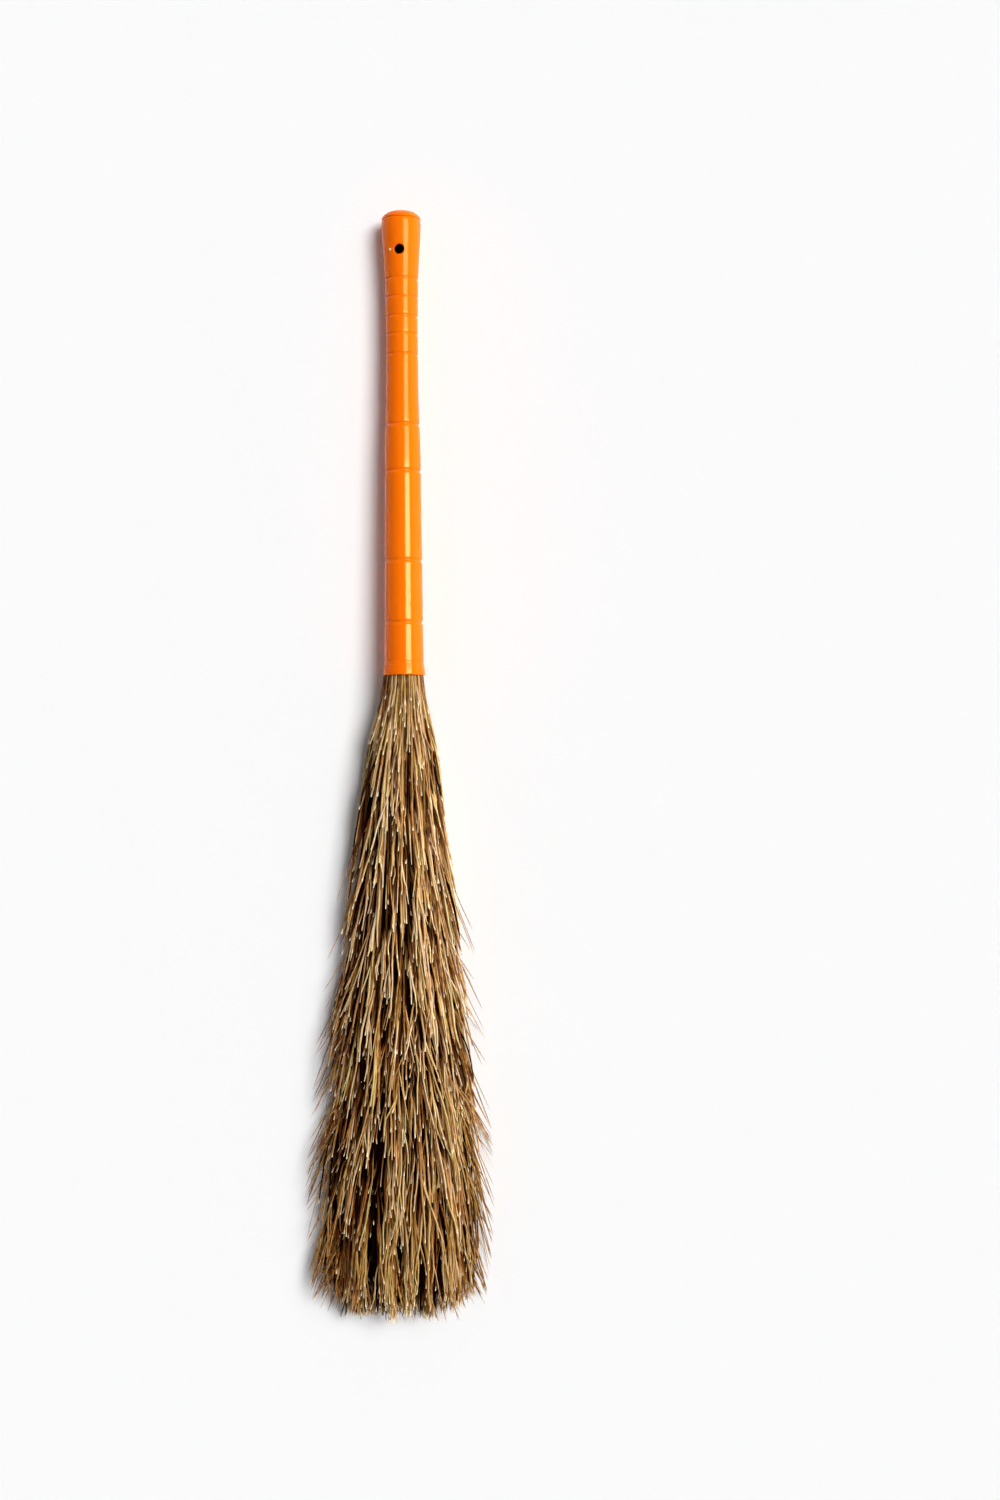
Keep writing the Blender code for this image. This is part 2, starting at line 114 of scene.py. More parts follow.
def through(table, at):
    """Reads a table of (place, value) rows as one smooth curve."""
    places, values = np.array(table, dtype=float).T
    slopes = np.gradient(values, places)
    row = np.clip(np.searchsorted(places, at) - 1, 0, len(places) - 2)
    step = places[row + 1] - places[row]
    way = np.clip((at - places[row]) / step, 0, 1)
    start = (1 + 2 * way) * (1 - way) ** 2 * values[row] + way * (1 - way) ** 2 * step * slopes[row]
    end = way**2 * (3 - 2 * way) * values[row + 1] + way**2 * (way - 1) * step * slopes[row + 1]
    return start + end


def ease(share):
    """Goes smoothly from 0 to 1."""
    share = np.clip(share, 0, 1)
    return share * share * (3 - 2 * share)

# %% [markdown]
# A lathe is the hand tool for turned shapes. In Blender it is a single vertex, extruded from point to point
# into half a section, and then spun a full turn. The seam is merged and the normals are made to point out.
# The finished piece is then laid along the handle's line, with its place kept in its mesh.

# %% A lathe from extrude and spin
MERGE_DISTANCE = 0.000002
TURN_STEPS = 96


def turn(name, section, closed):
    """Extrudes a vertex along a section of (radius, height) points and spins it about the Z axis."""
    start_afresh()
    first = Vector((section[0][0], 0, section[0][1]))
    bpy.ops.mesh.primitive_plane_add(size=MERGE_DISTANCE, location=first)
    piece = bpy.context.object
    piece.name = name
    bpy.ops.object.transform_apply(location=True, rotation=False, scale=False)
    bpy.ops.object.mode_set(mode="EDIT")
    bpy.ops.mesh.select_mode(type="VERT")
    bpy.ops.mesh.select_all(action="SELECT")
    bpy.ops.mesh.merge(type="CENTER")
    points = list(section) + ([section[0]] if closed else [])
    for (radius, height), (next_radius, next_height) in zip(points, points[1:]):
        step = (next_radius - radius, 0, next_height - height)
        bpy.ops.mesh.extrude_region_move(TRANSFORM_OT_translate={"value": step})
    bpy.ops.mesh.select_all(action="SELECT")
    bpy.ops.mesh.remove_doubles(threshold=MERGE_DISTANCE)
    bpy.ops.mesh.spin(steps=TURN_STEPS, angle=2 * math.pi, center=(0, 0, 0), axis=(0, 0, 1))
    bpy.ops.mesh.select_all(action="SELECT")
    bpy.ops.mesh.remove_doubles(threshold=MERGE_DISTANCE)
    bpy.ops.mesh.normals_make_consistent(inside=False)
    bpy.ops.object.mode_set(mode="OBJECT")
    assert len(piece.data.polygons) > TURN_STEPS, f"{name} came out without its faces"
    print(name, len(piece.data.polygons), "faces after the spin")
    return piece


def lay_on_handle_line(piece):
    """Lays an upright piece along the handle's line and keeps its place in its mesh."""
    choose(piece)
    piece.rotation_euler = (-math.pi / 2 - dip_angle, 0, 0)
    piece.location = mouth_place
    bpy.ops.object.transform_apply(location=True, rotation=True, scale=True)


# %% [markdown]
# The handle swells at both ends and is slim in the grip, like a skittle. Its outside is a short table of
# radii, read as a smooth curve. Nine shallow grooves run round it: four wide ones on the body and five
# close ones in the grip. Two fine lines run round the rim. Each is one wave of a cosine, so it has no sharp
# edge to catch the light.

# %% The handle's outline
BODY_RADIUS = 0.0174
HANDLE_WALL = 0.0024
RIM_RADIUS = 0.0189
RIM_LENGTH = 0.012
RIM_WALL = 0.0018
RIM_LINE_HEIGHTS = (0.0099, 0.0124)
RIM_LINE_WIDTH = 0.0012
RIM_LINE_DEPTH = 0.00022
OUTLINE_SHARES = (
    (0.0, 1.03), (0.03, 1.012), (0.075, 1.0), (0.16, 0.983), (0.29, 0.96), (0.38, 0.937), (0.465, 0.93),
    (0.51, 0.908), (0.555, 0.88), (0.60, 0.845), (0.65, 0.836), (0.75, 0.822), (0.82, 0.845),
    (0.865, 0.865), (0.905, 0.908), (0.93, 0.943), (0.955, 0.98), (0.98, 1.006), (1.0, 1.0),
)
BODY_RING_SHARES = (0.115, 0.250, 0.446, 0.548)
BODY_RING = (0.0052, 0.00100)
GRIP_RING_SHARES = (0.702, 0.746, 0.786, 0.828, 0.868)
GRIP_RING = (0.0034, 0.00065)

grooves = [(share * TUBE_LENGTH, *BODY_RING) for share in BODY_RING_SHARES]
grooves += [(share * TUBE_LENGTH, *GRIP_RING) for share in GRIP_RING_SHARES]
grooves += [(height, RIM_LINE_WIDTH, RIM_LINE_DEPTH) for height in RIM_LINE_HEIGHTS]
print("grooves and fine lines round the handle:", len(grooves))


def smooth_radius(height):
    """The tube's outside without its grooves, with the flare of its rim."""
    body = BODY_RADIUS * float(through(OUTLINE_SHARES, np.array(height / TUBE_LENGTH)))
    flare = float(ease(1 - height / RIM_LENGTH))
    return body + flare * (RIM_RADIUS - body)


def grooved_radius(height):
    """The tube's outside with its grooves."""
    dips = [0.0]
    for middle, width, depth in grooves:
        if abs(height - middle) < width / 2:
            dips.append(depth * (1 + math.cos(2 * math.pi * (height - middle) / width)) / 2)
    return smooth_radius(height) - max(dips)


# %% [markdown]
# Points are spent where the outline bends: every groove gets a dozen, and the plain stretches one every few
# millimetres. The section runs down the outside, round the soft lip of the mouth and back up the bore.

# %% Turn the handle tube
PLAIN_STEP = 0.0032
GROOVE_POINTS = 12
LIP_POINTS = 6
BORE_POINTS = 40
END_EDGE = 0.0004

heights = set(np.arange(RIM_WALL, TUBE_LENGTH - END_EDGE, PLAIN_STEP))
for middle, width, _ in grooves:
    heights = {height for height in heights if abs(height - middle) > width / 2}
    heights.update(np.linspace(middle - width / 2, middle + width / 2, GROOVE_POINTS + 1))
outside = [(grooved_radius(height), height) for height in sorted(heights, reverse=True)]
outside = [(grooved_radius(TUBE_LENGTH) - END_EDGE, TUBE_LENGTH)] + outside
lip = []
for step in range(1, LIP_POINTS):
    angle = math.pi * step / LIP_POINTS
    lip.append((
        RIM_RADIUS - RIM_WALL / 2 * (1 - math.cos(angle)),
        RIM_WALL * (1 - math.sin(angle)),
    ))
bore = [(RIM_RADIUS - RIM_WALL, RIM_WALL)]
bore_heights = np.linspace(RIM_LENGTH, TUBE_LENGTH, BORE_POINTS)
bore += [(smooth_radius(height) - HANDLE_WALL, height) for height in bore_heights]
handle_tube = turn("broom_handle", outside + lip + bore, True)

# %% [markdown]
# The hanging hole is drilled through both walls of the flared end with a Boolean, and its outer edge is
# rounded over, because a moulded hole has no burr and the round edge catches a small highlight.

# %% Drill the hanging hole
HOLE_RADIUS = 0.0045
HOLE_DROP = 0.0371
HOLE_ROLL = math.radians(-4.5)
HOLE_STEPS = 40
HOLE_EDGE = 0.0006
HOLE_EDGE_STEPS = 3
HOLE_TOLERANCE = 0.00002
DRILL_LENGTH = 4 * RIM_RADIUS
hole_height = HANDLE_LENGTH - HOLE_DROP


def combine(piece, tool, operation):
    """Takes a tool out of a piece or joins it on, and removes the tool."""
    choose(piece)
    boolean = piece.modifiers.new("Combine", "BOOLEAN")
    boolean.object = tool
    boolean.operation = operation
    bpy.ops.object.modifier_apply(modifier=boolean.name)
    bpy.data.objects.remove(tool)


start_afresh()
bpy.ops.mesh.primitive_cylinder_add(
    vertices=HOLE_STEPS, radius=HOLE_RADIUS, depth=DRILL_LENGTH,
    location=(0, 0, hole_height), rotation=(math.pi / 2, 0, HOLE_ROLL),
)
combine(handle_tube, bpy.context.object, "DIFFERENCE")


def at_hole_edge(place):
    """Whether a place is on the outer edge of the hole."""
    turned_x = place.x * math.cos(HOLE_ROLL) + place.y * math.sin(HOLE_ROLL)
    off_middle = math.hypot(turned_x, place.z - hole_height)
    outer = math.hypot(place.x, place.y) > smooth_radius(place.z) - HANDLE_WALL / 2
    return abs(off_middle - HOLE_RADIUS) < HOLE_TOLERANCE and outer


pick_vertices(handle_tube, at_hole_edge)
bpy.ops.mesh.select_mode(type="EDGE")
edge_count = sum(edge.select for edge in handle_tube.data.edges)
bpy.ops.mesh.bevel(offset=HOLE_EDGE, segments=HOLE_EDGE_STEPS, affect="EDGES")
bpy.ops.object.mode_set(mode="OBJECT")
print("hole edges rounded:", edge_count)

# %% [markdown]
# Beside the hole sits a small raised dot: the mark of the gate where the plastic entered the mould. It is a
# flattened ball, sunk halfway into the wall and made one with the tube by a Boolean.

# %% Raise the gate mark
GATE_RADIUS = 0.0014
GATE_FLATNESS = 0.6
GATE_TURN = math.radians(-36)

gate_reach = smooth_radius(hole_height)
gate_place = Vector((gate_reach * math.sin(GATE_TURN), -gate_reach * math.cos(GATE_TURN), hole_height))
start_afresh()
bpy.ops.mesh.primitive_uv_sphere_add(
    segments=20, ring_count=12, radius=GATE_RADIUS, scale=(1, 1, GATE_FLATNESS),
    location=gate_place, rotation=(math.pi / 2, 0, GATE_TURN),
)
combine(handle_tube, bpy.context.object, "UNION")
print("handle tube:", len(handle_tube.data.polygons), "faces")

# %% [markdown]
# The faces of the bore get the second material slot, which is rough and painted dark as painted shade for
# the inside of the tube, and those of the gate mark the third, which is painted pale as a painted highlight.
# Then the tube is shaded smooth, laid along its line and handed to the frame.

# %% Mark the bore and the gate, and lay the tube down
BORE_SLOT = 1
GATE_SLOT = 2
BORE_WALL_SHARE = 0.9
SHARP_ANGLE = math.radians(35)

finish_slots = []
for face in handle_tube.data.polygons:
    off_axis = math.hypot(face.center.x, face.center.y)
    surface = smooth_radius(face.center.z)
    if off_axis < surface - BORE_WALL_SHARE * HANDLE_WALL:
        finish_slots.append(BORE_SLOT)
    elif (face.center - gate_place).length < GATE_RADIUS and off_axis > surface + MERGE_DISTANCE:
        finish_slots.append(GATE_SLOT)
    else:
        finish_slots.append(0)
choose(handle_tube)
bpy.ops.object.shade_smooth_by_angle(angle=SHARP_ANGLE)
lay_on_handle_line(handle_tube)
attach(handle_tube, "root")
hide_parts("handle_tube")
print("bore faces:", finish_slots.count(BORE_SLOT), "gate faces:", finish_slots.count(GATE_SLOT))

# %% [markdown]
# The flared end is closed by a plug: a low crown with a rounded shoulder, and a skirt that grips the bore.
# It meets the tube with a hair-fine seam. It is turned like the tube, from its own section.

# %% Turn the end plug
SEAM = 0.0003
CROWN_FLAT_SHARE = 0.12
CROWN_POINTS = 14
SKIRT_LENGTH = 0.012
PLUG_WALL = 0.0018

seat = TUBE_LENGTH + SEAM
crown_radius = grooved_radius(TUBE_LENGTH)
flat_radius = CROWN_FLAT_SHARE * crown_radius
crown = []
for step in range(CROWN_POINTS + 1):
    angle = math.pi / 2 * step / CROWN_POINTS
    across = flat_radius + (crown_radius - flat_radius) * math.sin(angle)
    crown.append((across, seat + END_EDGE + (HANDLE_LENGTH - seat - END_EDGE) * math.cos(angle)))
skirt_radius = smooth_radius(TUBE_LENGTH) - HANDLE_WALL - SEAM
skirt = [
    (crown_radius - END_EDGE, seat),
    (skirt_radius, seat),
    (skirt_radius, TUBE_LENGTH - SKIRT_LENGTH),
    (skirt_radius - PLUG_WALL, TUBE_LENGTH - SKIRT_LENGTH),
    (skirt_radius - PLUG_WALL, HANDLE_LENGTH - PLUG_WALL),
    (0, HANDLE_LENGTH - PLUG_WALL),
]
end_plug = turn("handle_end_plug", [(0, HANDLE_LENGTH)] + crown + skirt, False)
bpy.ops.object.shade_smooth_by_angle(angle=SHARP_ANGLE)
lay_on_handle_line(end_plug)
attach(end_plug, "root")
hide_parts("end_plug")

# %% [markdown]
# Every material is a few nodes added to a Principled shader. These helpers add a node with its values set,
# link it, and read the piece's own coordinates, so that a pattern stays with its piece. A pattern is drawn
# out along the broom by reading it at places that change more slowly that way.

# %% Helpers for materials
MIX_SOCKETS = (0, 6, 7)
MIX_RESULT = 2


def new_finish(name, **values):
    """A material whose Principled shader has its sockets set by name."""
    material = bpy.data.materials.new(name)
    material.use_nodes = True
    shader = material.node_tree.nodes["Principled BSDF"]
    for socket, value in values.items():
        shader.inputs[socket.replace("_", " ")].default_value = value
    return material, material.node_tree, shader


def add_node(tree, kind, settings=None, **inputs):
    """Adds a node, with its settings, its typed-in inputs and its linked inputs."""
    node = tree.nodes.new(kind)
    for key, value in (settings or {}).items():
        setattr(node, key, value)
    for key, value in inputs.items():
        socket = node.inputs[int(key[1:])] if key[0] == "i" and key[1:].isdigit() else node.inputs[key]
        if isinstance(value, bpy.types.NodeSocket):
            tree.links.new(value, socket)
        else:
            socket.default_value = value
    return node


def add_ramp(tree, factor, stops):
    """A colour ramp with a stop for each (place, colour) row."""
    node = tree.nodes.new("ShaderNodeValToRGB")
    while len(node.color_ramp.elements) < len(stops):
        node.color_ramp.elements.new(1.0)
    for element, (place, colour) in zip(node.color_ramp.elements, stops):
        element.position = place
        element.color = (*colour, 1.0)
    tree.links.new(factor, node.inputs["Fac"])
    return node.outputs["Color"]


def add_mix(tree, factor, first, second, blend="MIX"):
    """Mixes two colours, each typed in or linked."""
    node = tree.nodes.new("ShaderNodeMix")
    node.data_type = "RGBA"
    node.blend_type = blend
    for number, value in zip(MIX_SOCKETS, (factor, first, second)):
        if isinstance(value, bpy.types.NodeSocket):
            tree.links.new(value, node.inputs[number])
        else:
            node.inputs[number].default_value = value
    return node.outputs[MIX_RESULT]


def own_place(tree):
    """The place on the piece, in the piece's own coordinates."""
    return add_node(tree, "ShaderNodeTexCoord").outputs["Object"]


def drawn_out(tree, place, share):
    """A place that changes by only a share of its distance along the broom."""
    along = add_node(tree, "ShaderNodeMapping", Vector=place)
    along.inputs["Scale"].default_value = (1.0, share, 1.0)
    return along.outputs["Vector"]


def add_noise(tree, place, scale, detail):
    """A noise pattern's value at a place."""
    return add_node(tree, "ShaderNodeTexNoise", Vector=place, Scale=scale, Detail=detail).outputs["Fac"]


def add_math(tree, operation, *values):
    """The result of a sum on values that are typed in or linked."""
    inputs = {f"i{number}": value for number, value in enumerate(values)}
    return add_node(tree, "ShaderNodeMath", {"operation": operation}, **inputs).outputs[0]


def map_range(tree, value, source, target=(0.0, 1.0)):
    """Maps a value from one range to another."""
    node = add_node(tree, "ShaderNodeMapRange", Value=value)
    for label, number in zip(("From Min", "From Max", "To Min", "To Max"), (*source, *target)):
        node.inputs[label].default_value = number
    return node.outputs["Result"]


def add_bump(tree, shader, height, strength, distance):
    """Makes a finish look raised where a value is high."""
    bump = add_node(tree, "ShaderNodeBump", Height=height, Strength=strength, Distance=distance)
    tree.links.new(bump.outputs["Normal"], shader.inputs["Normal"])


def give(piece, material):
    """Makes a material the piece's only one."""
    piece.data.materials.clear()
    piece.data.materials.append(material)

# %% [markdown]
# The handle's plastic is a saturated orange with a clear gloss. Moulded plastic is never quite even: the
# colour drifts a little from place to place, handling leaves fine scuffs along it that dull the gloss, and
# the surface has a slight orange-peel ripple that makes the edges of a highlight waver. The bore is rough,
# and its much darker colour is painted shade for the unlit inside of the tube. The gate mark's pale colour
# is a painted highlight.

# %% Orange plastic
ORANGE = (0.96, 0.172, 0.0, 1.0)
DEEP_ORANGE = (0.94, 0.150, 0.0, 1.0)
BORE_SHADE_TONES = ((0.35, (0.110, 0.008, 0.006)), (0.7, (0.220, 0.022, 0.010)))
GATE_HIGHLIGHT_TONES = ((0.3, (0.95, 0.40, 0.14)), (0.7, (1.0, 0.62, 0.34)))
SCUFF_SHARE = 0.06
SCUFF_LEVELS = (0.4, 0.75)
SCUFF_ROUGHNESS = (0.06, 0.15)


def orange_plastic(name):
    """Glossy moulded plastic with a faint drift of colour, scuffs and ripple."""
    material, tree, shader = new_finish(name, IOR=1.46, Specular_IOR_Level=0.2)
    place = own_place(tree)
    drift = add_noise(tree, place, scale=14.0, detail=3.0)
    tree.links.new(add_mix(tree, drift, ORANGE, DEEP_ORANGE), shader.inputs["Base Color"])
    scuffs = add_noise(tree, drawn_out(tree, place, SCUFF_SHARE), scale=900.0, detail=4.0)
    tree.links.new(map_range(tree, scuffs, SCUFF_LEVELS, SCUFF_ROUGHNESS), shader.inputs["Roughness"])
    ripple = add_noise(tree, place, scale=160.0, detail=2.0)
    add_bump(tree, shader, ripple, strength=0.06, distance=0.0005)
    return material


def painted_shade_bore():
    """The rough inside of the tube, painted dark as painted shade."""
    material, tree, shader = new_finish("bore_painted_shade_plastic", Roughness=0.9)
    shade_mottle = add_noise(tree, own_place(tree), scale=220.0, detail=4.0)
    tree.links.new(add_ramp(tree, shade_mottle, BORE_SHADE_TONES), shader.inputs["Base Color"])
    return material


def painted_highlight_gate():
    """The rough gate mark, painted pale as a painted highlight."""
    material, tree, shader = new_finish("gate_painted_highlight_plastic", Roughness=0.5)
    grain = add_noise(tree, own_place(tree), scale=900.0, detail=2.0)
    tree.links.new(add_ramp(tree, grain, GATE_HIGHLIGHT_TONES), shader.inputs["Base Color"])
    return material


give(handle_tube, orange_plastic("handle_orange_plastic"))
handle_tube.data.materials.append(painted_shade_bore())
handle_tube.data.materials.append(painted_highlight_gate())
handle_tube.data.polygons.foreach_set("material_index", np.array(finish_slots, dtype=np.int32))
give(end_plug, orange_plastic("plug_orange_plastic"))
print("finishes of the tube:", [material.name for material in handle_tube.data.materials])

# %% [markdown]
# Inside the tube, three wire ties and a wooden peg hold the stems. Their solids in the frame have the right
# shape already, so they stay and only get a finish: steel wire dulled in fine specks, and raw pale wood with
# its grain along the peg.

# %% Steel wire and peg wood
STEEL = (0.5, 0.5, 0.49, 1.0)
STEEL_ROUGHNESS = (0.25, 0.5)
GRAIN_SHARE = 0.05
GRAIN_TONES = ((0.3, (0.30, 0.17, 0.07)), (0.5, (0.55, 0.37, 0.19)), (0.75, (0.68, 0.50, 0.30)))


def drawn_steel():
    """Soft binding wire, slightly dulled."""
    material, tree, shader = new_finish("binding_wire_steel", Metallic=1.0, Base_Color=STEEL)
    specks = add_noise(tree, own_place(tree), scale=2500.0, detail=2.0)
    tree.links.new(map_range(tree, specks, (0.0, 1.0), STEEL_ROUGHNESS), shader.inputs["Roughness"])
    add_bump(tree, shader, specks, strength=0.2, distance=0.0001)
    return material


def peg_wood():
    """Raw split wood with its grain along the peg."""
    material, tree, shader = new_finish("peg_pale_wood", Roughness=0.75)
    grain = add_noise(tree, drawn_out(tree, own_place(tree), GRAIN_SHARE), scale=1500.0, detail=5.0)
    tree.links.new(add_ramp(tree, grain, GRAIN_TONES), shader.inputs["Base Color"])
    add_bump(tree, shader, grain, strength=0.4, distance=0.0002)
    return material


steel = drawn_steel()
for name in ("core_tie", "middle_tie", "outer_tie"):
    give(frame["nodes"][name], steel)
give(frame["nodes"]["wedge_peg"], peg_wood())
print("the ties got", steel.name)

# %% [markdown]
# Now the straw. It comes in four kinds. A stalk is a stiff rib that stands in the handle. A stem runs down
# beside it and surfaces further down, with two knots, cut blunt at its end. A sprig branches off a stem, and
# a hair off a sprig, drawn in almost to a point. Each kind is modelled once, one metre long and two metres
# wide, and later cells shrink it onto its course.

# %% Model one straw of each kind
KNOT_WIDTH = 1.25
RING_TOLERANCE = 0.001


def model_straw(name, sides, rings, knots, tip):
    """A cylinder cut into equal rings, with some rings widened as knots and its far end drawn in."""
    start_afresh()
    bpy.ops.mesh.primitive_cylinder_add(vertices=sides, radius=1, depth=1, location=(0, 0, 0.5))
    straw = bpy.context.object
    straw.name = name
    bpy.ops.object.transform_apply(location=True, rotation=False, scale=False)
    bpy.ops.object.mode_set(mode="EDIT")
    for ring in range(1, rings):
        bpy.ops.mesh.select_all(action="SELECT")
        bpy.ops.mesh.bisect(plane_co=(0, 0, ring / rings), plane_no=(0, 0, 1))
    for knot in knots:
        pick_vertices(straw, lambda place: abs(place.z - knot / rings) < RING_TOLERANCE)
        bpy.ops.transform.resize(value=(KNOT_WIDTH, KNOT_WIDTH, 1), center_override=(0, 0, knot / rings))
    pick_vertices(straw, lambda place: place.z > 1 - RING_TOLERANCE)
    bpy.ops.transform.resize(value=(tip, tip, 1), center_override=(0, 0, 1))
    bpy.ops.object.mode_set(mode="OBJECT")
    places = np.array([vertex.co for vertex in straw.data.vertices])
    faces = [tuple(face.vertices) for face in straw.data.polygons]
    bpy.data.objects.remove(straw)
    print(name, len(faces), "faces")
    return places, faces


stalk = model_straw("stalk", sides=6, rings=14, knots=(5, 9), tip=0.8)
stem = model_straw("stem", sides=5, rings=10, knots=(3, 7), tip=0.8)
sprig = model_straw("sprig", sides=5, rings=7, knots=(2,), tip=0.75)
hair = model_straw("hair", sides=4, rings=6, knots=(), tip=0.2)

# %% [markdown]
# A strand's course is easiest to say in the bundle's own terms: how far across and how far up it lies in
# the round bundle, as shares from -1 to 1, and how far below the mouth. This cell turns that into a place.
# The bundle leaves the mouth round, sinks to the floor and spreads, so its underside grows flat, and use
# has bent it a little to one side. The rows of the tables are (distance below the mouth, size), in metres.

# %% The shape of the bundle
HALF_WIDTHS = (
    (0.0, 0.0156), (0.004, 0.0170), (0.022, 0.0212), (0.040, 0.0246), (0.060, 0.0292), (0.080, 0.0322),
    (0.110, 0.0350), (0.150, 0.0384), (0.185, 0.0420), (0.220, 0.0460), (0.255, 0.0492), (0.290, 0.0538),
    (0.325, 0.0578), (0.365, 0.0602), (0.400, 0.0634), (0.450, 0.0664), (0.505, 0.0656), (0.583, 0.0572),
)
TOP_HEIGHTS = (
    (0.0, 0.0436), (0.02, 0.0450), (0.05, 0.0478), (0.10, 0.0505), (0.17, 0.0520), (0.26, 0.0525),
    (0.40, 0.0520), (0.50, 0.0485), (0.583, 0.0370),
)
LOW_HEIGHTS = (
    (0.0, 0.0124), (0.02, 0.0095), (0.045, 0.0050), (0.07, 0.0022), (0.10, 0.0012), (0.583, 0.0012),
)
SIDE_SHIFTS = ((0.0, 0.0), (0.065, 0.0027), (0.230, 0.0050), (0.583, 0.0095))
FLAT_FROM = 0.02
FLAT_AT = 0.12
SQUARENESS = 4
SQUARED_UP_TO = 0.98
SIDE_SAG = 0.38
LOWEST = 0.0021
HIGHEST = 0.0603
HIGHEST_STRAY = 0.0055
SPILL_FROM = 0.02
SPILL_AT = 0.26
FIRST_SPILL_SHARE = 0.08

widest = 2 * max(half_width for _, half_width in HALF_WIDTHS)
print(f"the bundle is {widest:.3f} m wide where it is widest")


def keep_to_sides(places, spill):
    """Draws each stray in as a whole to a spill past the side, and keeps it between floor and top."""
    below = mouth_place.y - places[..., 1]
    spilling = ease((below - SPILL_FROM) / (SPILL_AT - SPILL_FROM))
    allowed = spill * (FIRST_SPILL_SHARE + (1 - FIRST_SPILL_SHARE) * spilling)
    half_width = through(HALF_WIDTHS, below)
    middle = mouth_place.x - through(SIDE_SHIFTS, below)
    off_middle = places[..., 0] - middle
    beyond = np.maximum(np.abs(off_middle) - half_width, 0)
    share = (allowed / np.maximum(beyond, allowed)).min(axis=1, keepdims=True)
    kept = np.minimum(np.abs(off_middle), half_width) + beyond * share
    places[..., 0] = middle + np.sign(off_middle) * kept
    highest = np.minimum(through(TOP_HEIGHTS, below) + HIGHEST_STRAY, HIGHEST)
    places[..., 2] = np.clip(places[..., 2], LOWEST, highest)
    return places


def place_in_bundle(across, up, below):
    """Turns shares across and up, and metres below the mouth, into places."""
    half_width = through(HALF_WIDTHS, below)
    top = through(TOP_HEIGHTS, below)
    low = through(LOW_HEIGHTS, below)
    flat = ease((below - FLAT_FROM) / (FLAT_AT - FLAT_FROM))
    side = np.clip(np.abs(across), 0, SQUARED_UP_TO)
    squared = up * (1 - side**SQUARENESS) ** (1 / SQUARENESS) / np.sqrt(1 - side**2)
    up = np.where(up < 0, up + flat * (np.maximum(squared, -1) - up), up)
    middle, half_height = (top + low) / 2, (top - low) / 2
    inside = np.minimum(below, 0)
    x = mouth_place.x + across * half_width - through(SIDE_SHIFTS, below)
    y = mouth_place.y - below
    sagged = 1 - SIDE_SAG * flat * side**2
    z = (middle + up * half_height) * sagged + inside * math.tan(dip_angle)
    return np.stack([x, y, z], axis=-1)


# %% [markdown]
# Straw clings together in locks, and dark gaps open between them. A set of lock centres is spread over the
# bundle like the seeds of a sunflower, and each strand drifts towards the nearest one as it goes down. The
# strands of a lock share a lean, and some locks stand proud while others lie deep. Those on the left lie
# deeper still, where the photograph shows the most gaps, so the painted shade of buried straw darkens the
# left side more. At the sweeping end the strands gather once more, into fewer and larger tufts, each of its
# own length.

# %% Locks and tufts
GOLDEN_ANGLE = math.pi * (3 - math.sqrt(5))
LOCKS = 150
LOCK_JITTER = 0.05
LOCK_LEAN = 0.028
LOCK_RISE = (-0.0036, 0.0014)
LEFT_HOLLOW = 0.0042
HOLLOW_FROM = -0.15
TUFTS = 34
TUFT_JITTER = 0.06
TUFT_FROM = 0.43
TUFT_PULL = 0.88
TUFT_LENGTHS = (0.984, 1.0)
EDGE_SHORTER = 0.058
EDGE_POWER = 4
TOP_SHORTER = 0.010
SEED = 11
numbers = np.random.default_rng(SEED)


def sunflower(count, inner=0.0, jitter=0.0):
    """Places spread evenly over a disc or ring of radius 1, as (across, up)."""
    index = np.arange(count) + 0.5
    radius = np.sqrt(inner**2 + (1 - inner**2) * index / count)
    angle = index * GOLDEN_ANGLE
    places = np.stack([radius * np.cos(angle), radius * np.sin(angle)], axis=-1)
    return places + numbers.uniform(-jitter, jitter, places.shape)


lock_centres = sunflower(LOCKS, jitter=LOCK_JITTER)
lock_leans = numbers.normal(0, LOCK_LEAN, LOCKS)
lock_rises = numbers.uniform(*LOCK_RISE, LOCKS)
# Locks on the left lie deeper, so the material's painted shade makes them darker.
lock_rises -= LEFT_HOLLOW * np.clip(HOLLOW_FROM - lock_centres[:, 0], 0, 1)
tuft_centres = sunflower(TUFTS, jitter=TUFT_JITTER)
tuft_lengths = numbers.uniform(*TUFT_LENGTHS, TUFTS)
print(LOCKS, "locks and", TUFTS, "tufts")


def nearest(places, centres):
    """The number of the centre nearest to each place."""
    gaps = np.linalg.norm(places[:, None, :] - centres[None, :, :], axis=-1)
    return np.argmin(gaps, axis=1)


def longest_at(feet):
    """How far down a strand may reach: less at the sides and on top, and not the same in every tuft."""
    at_edge = 1 - EDGE_SHORTER * np.abs(feet[:, 0]) ** EDGE_POWER - TOP_SHORTER * np.maximum(feet[:, 1], 0)
    return STRAW_LENGTH * at_edge * tuft_lengths[nearest(feet, tuft_centres)]


# %% [markdown]
# A course is a row of stations from a strand's foot to its tip. All the strands of a kind are worked out
# at once, with one row of numbers each. Going down, a strand surfaces from the depth where it started,
# drifts towards its lock and its tuft, leans and curls to one side, and wanders a little. It may lift off
# the bundle, so that its tip stands off like thatch, or sink into it. It surfaces mostly upwards and only a
# little sideways, so that neighbours stay nearly parallel. How deep each station lies under the bundle's
# surface is kept, as if the bundle were equally thick everywhere, because the material paints shade on
# what is buried.

# %% Courses for many strands at once
FULL_HALF_HEIGHT = 0.0255
GAPS_DEEPEN = 0.8
DEEPER_FROM = 0.32
SIDE_RAISE = 0.5
DIVE_SHARES = np.array((0.35, 1.0))
DIVE_CURVE = 1.3
SMALLEST_REACH = 0.05
WANDER_WAVES = (1.1, 2.3, 4.2)
LEAN_REACH = 0.10
FREE_BELOW = 0.12
LOCKED_BELOW = 0.20
LIFT_CURVE = 1.7
CURL = 0.22
STRAND_SPILL = 0.0060


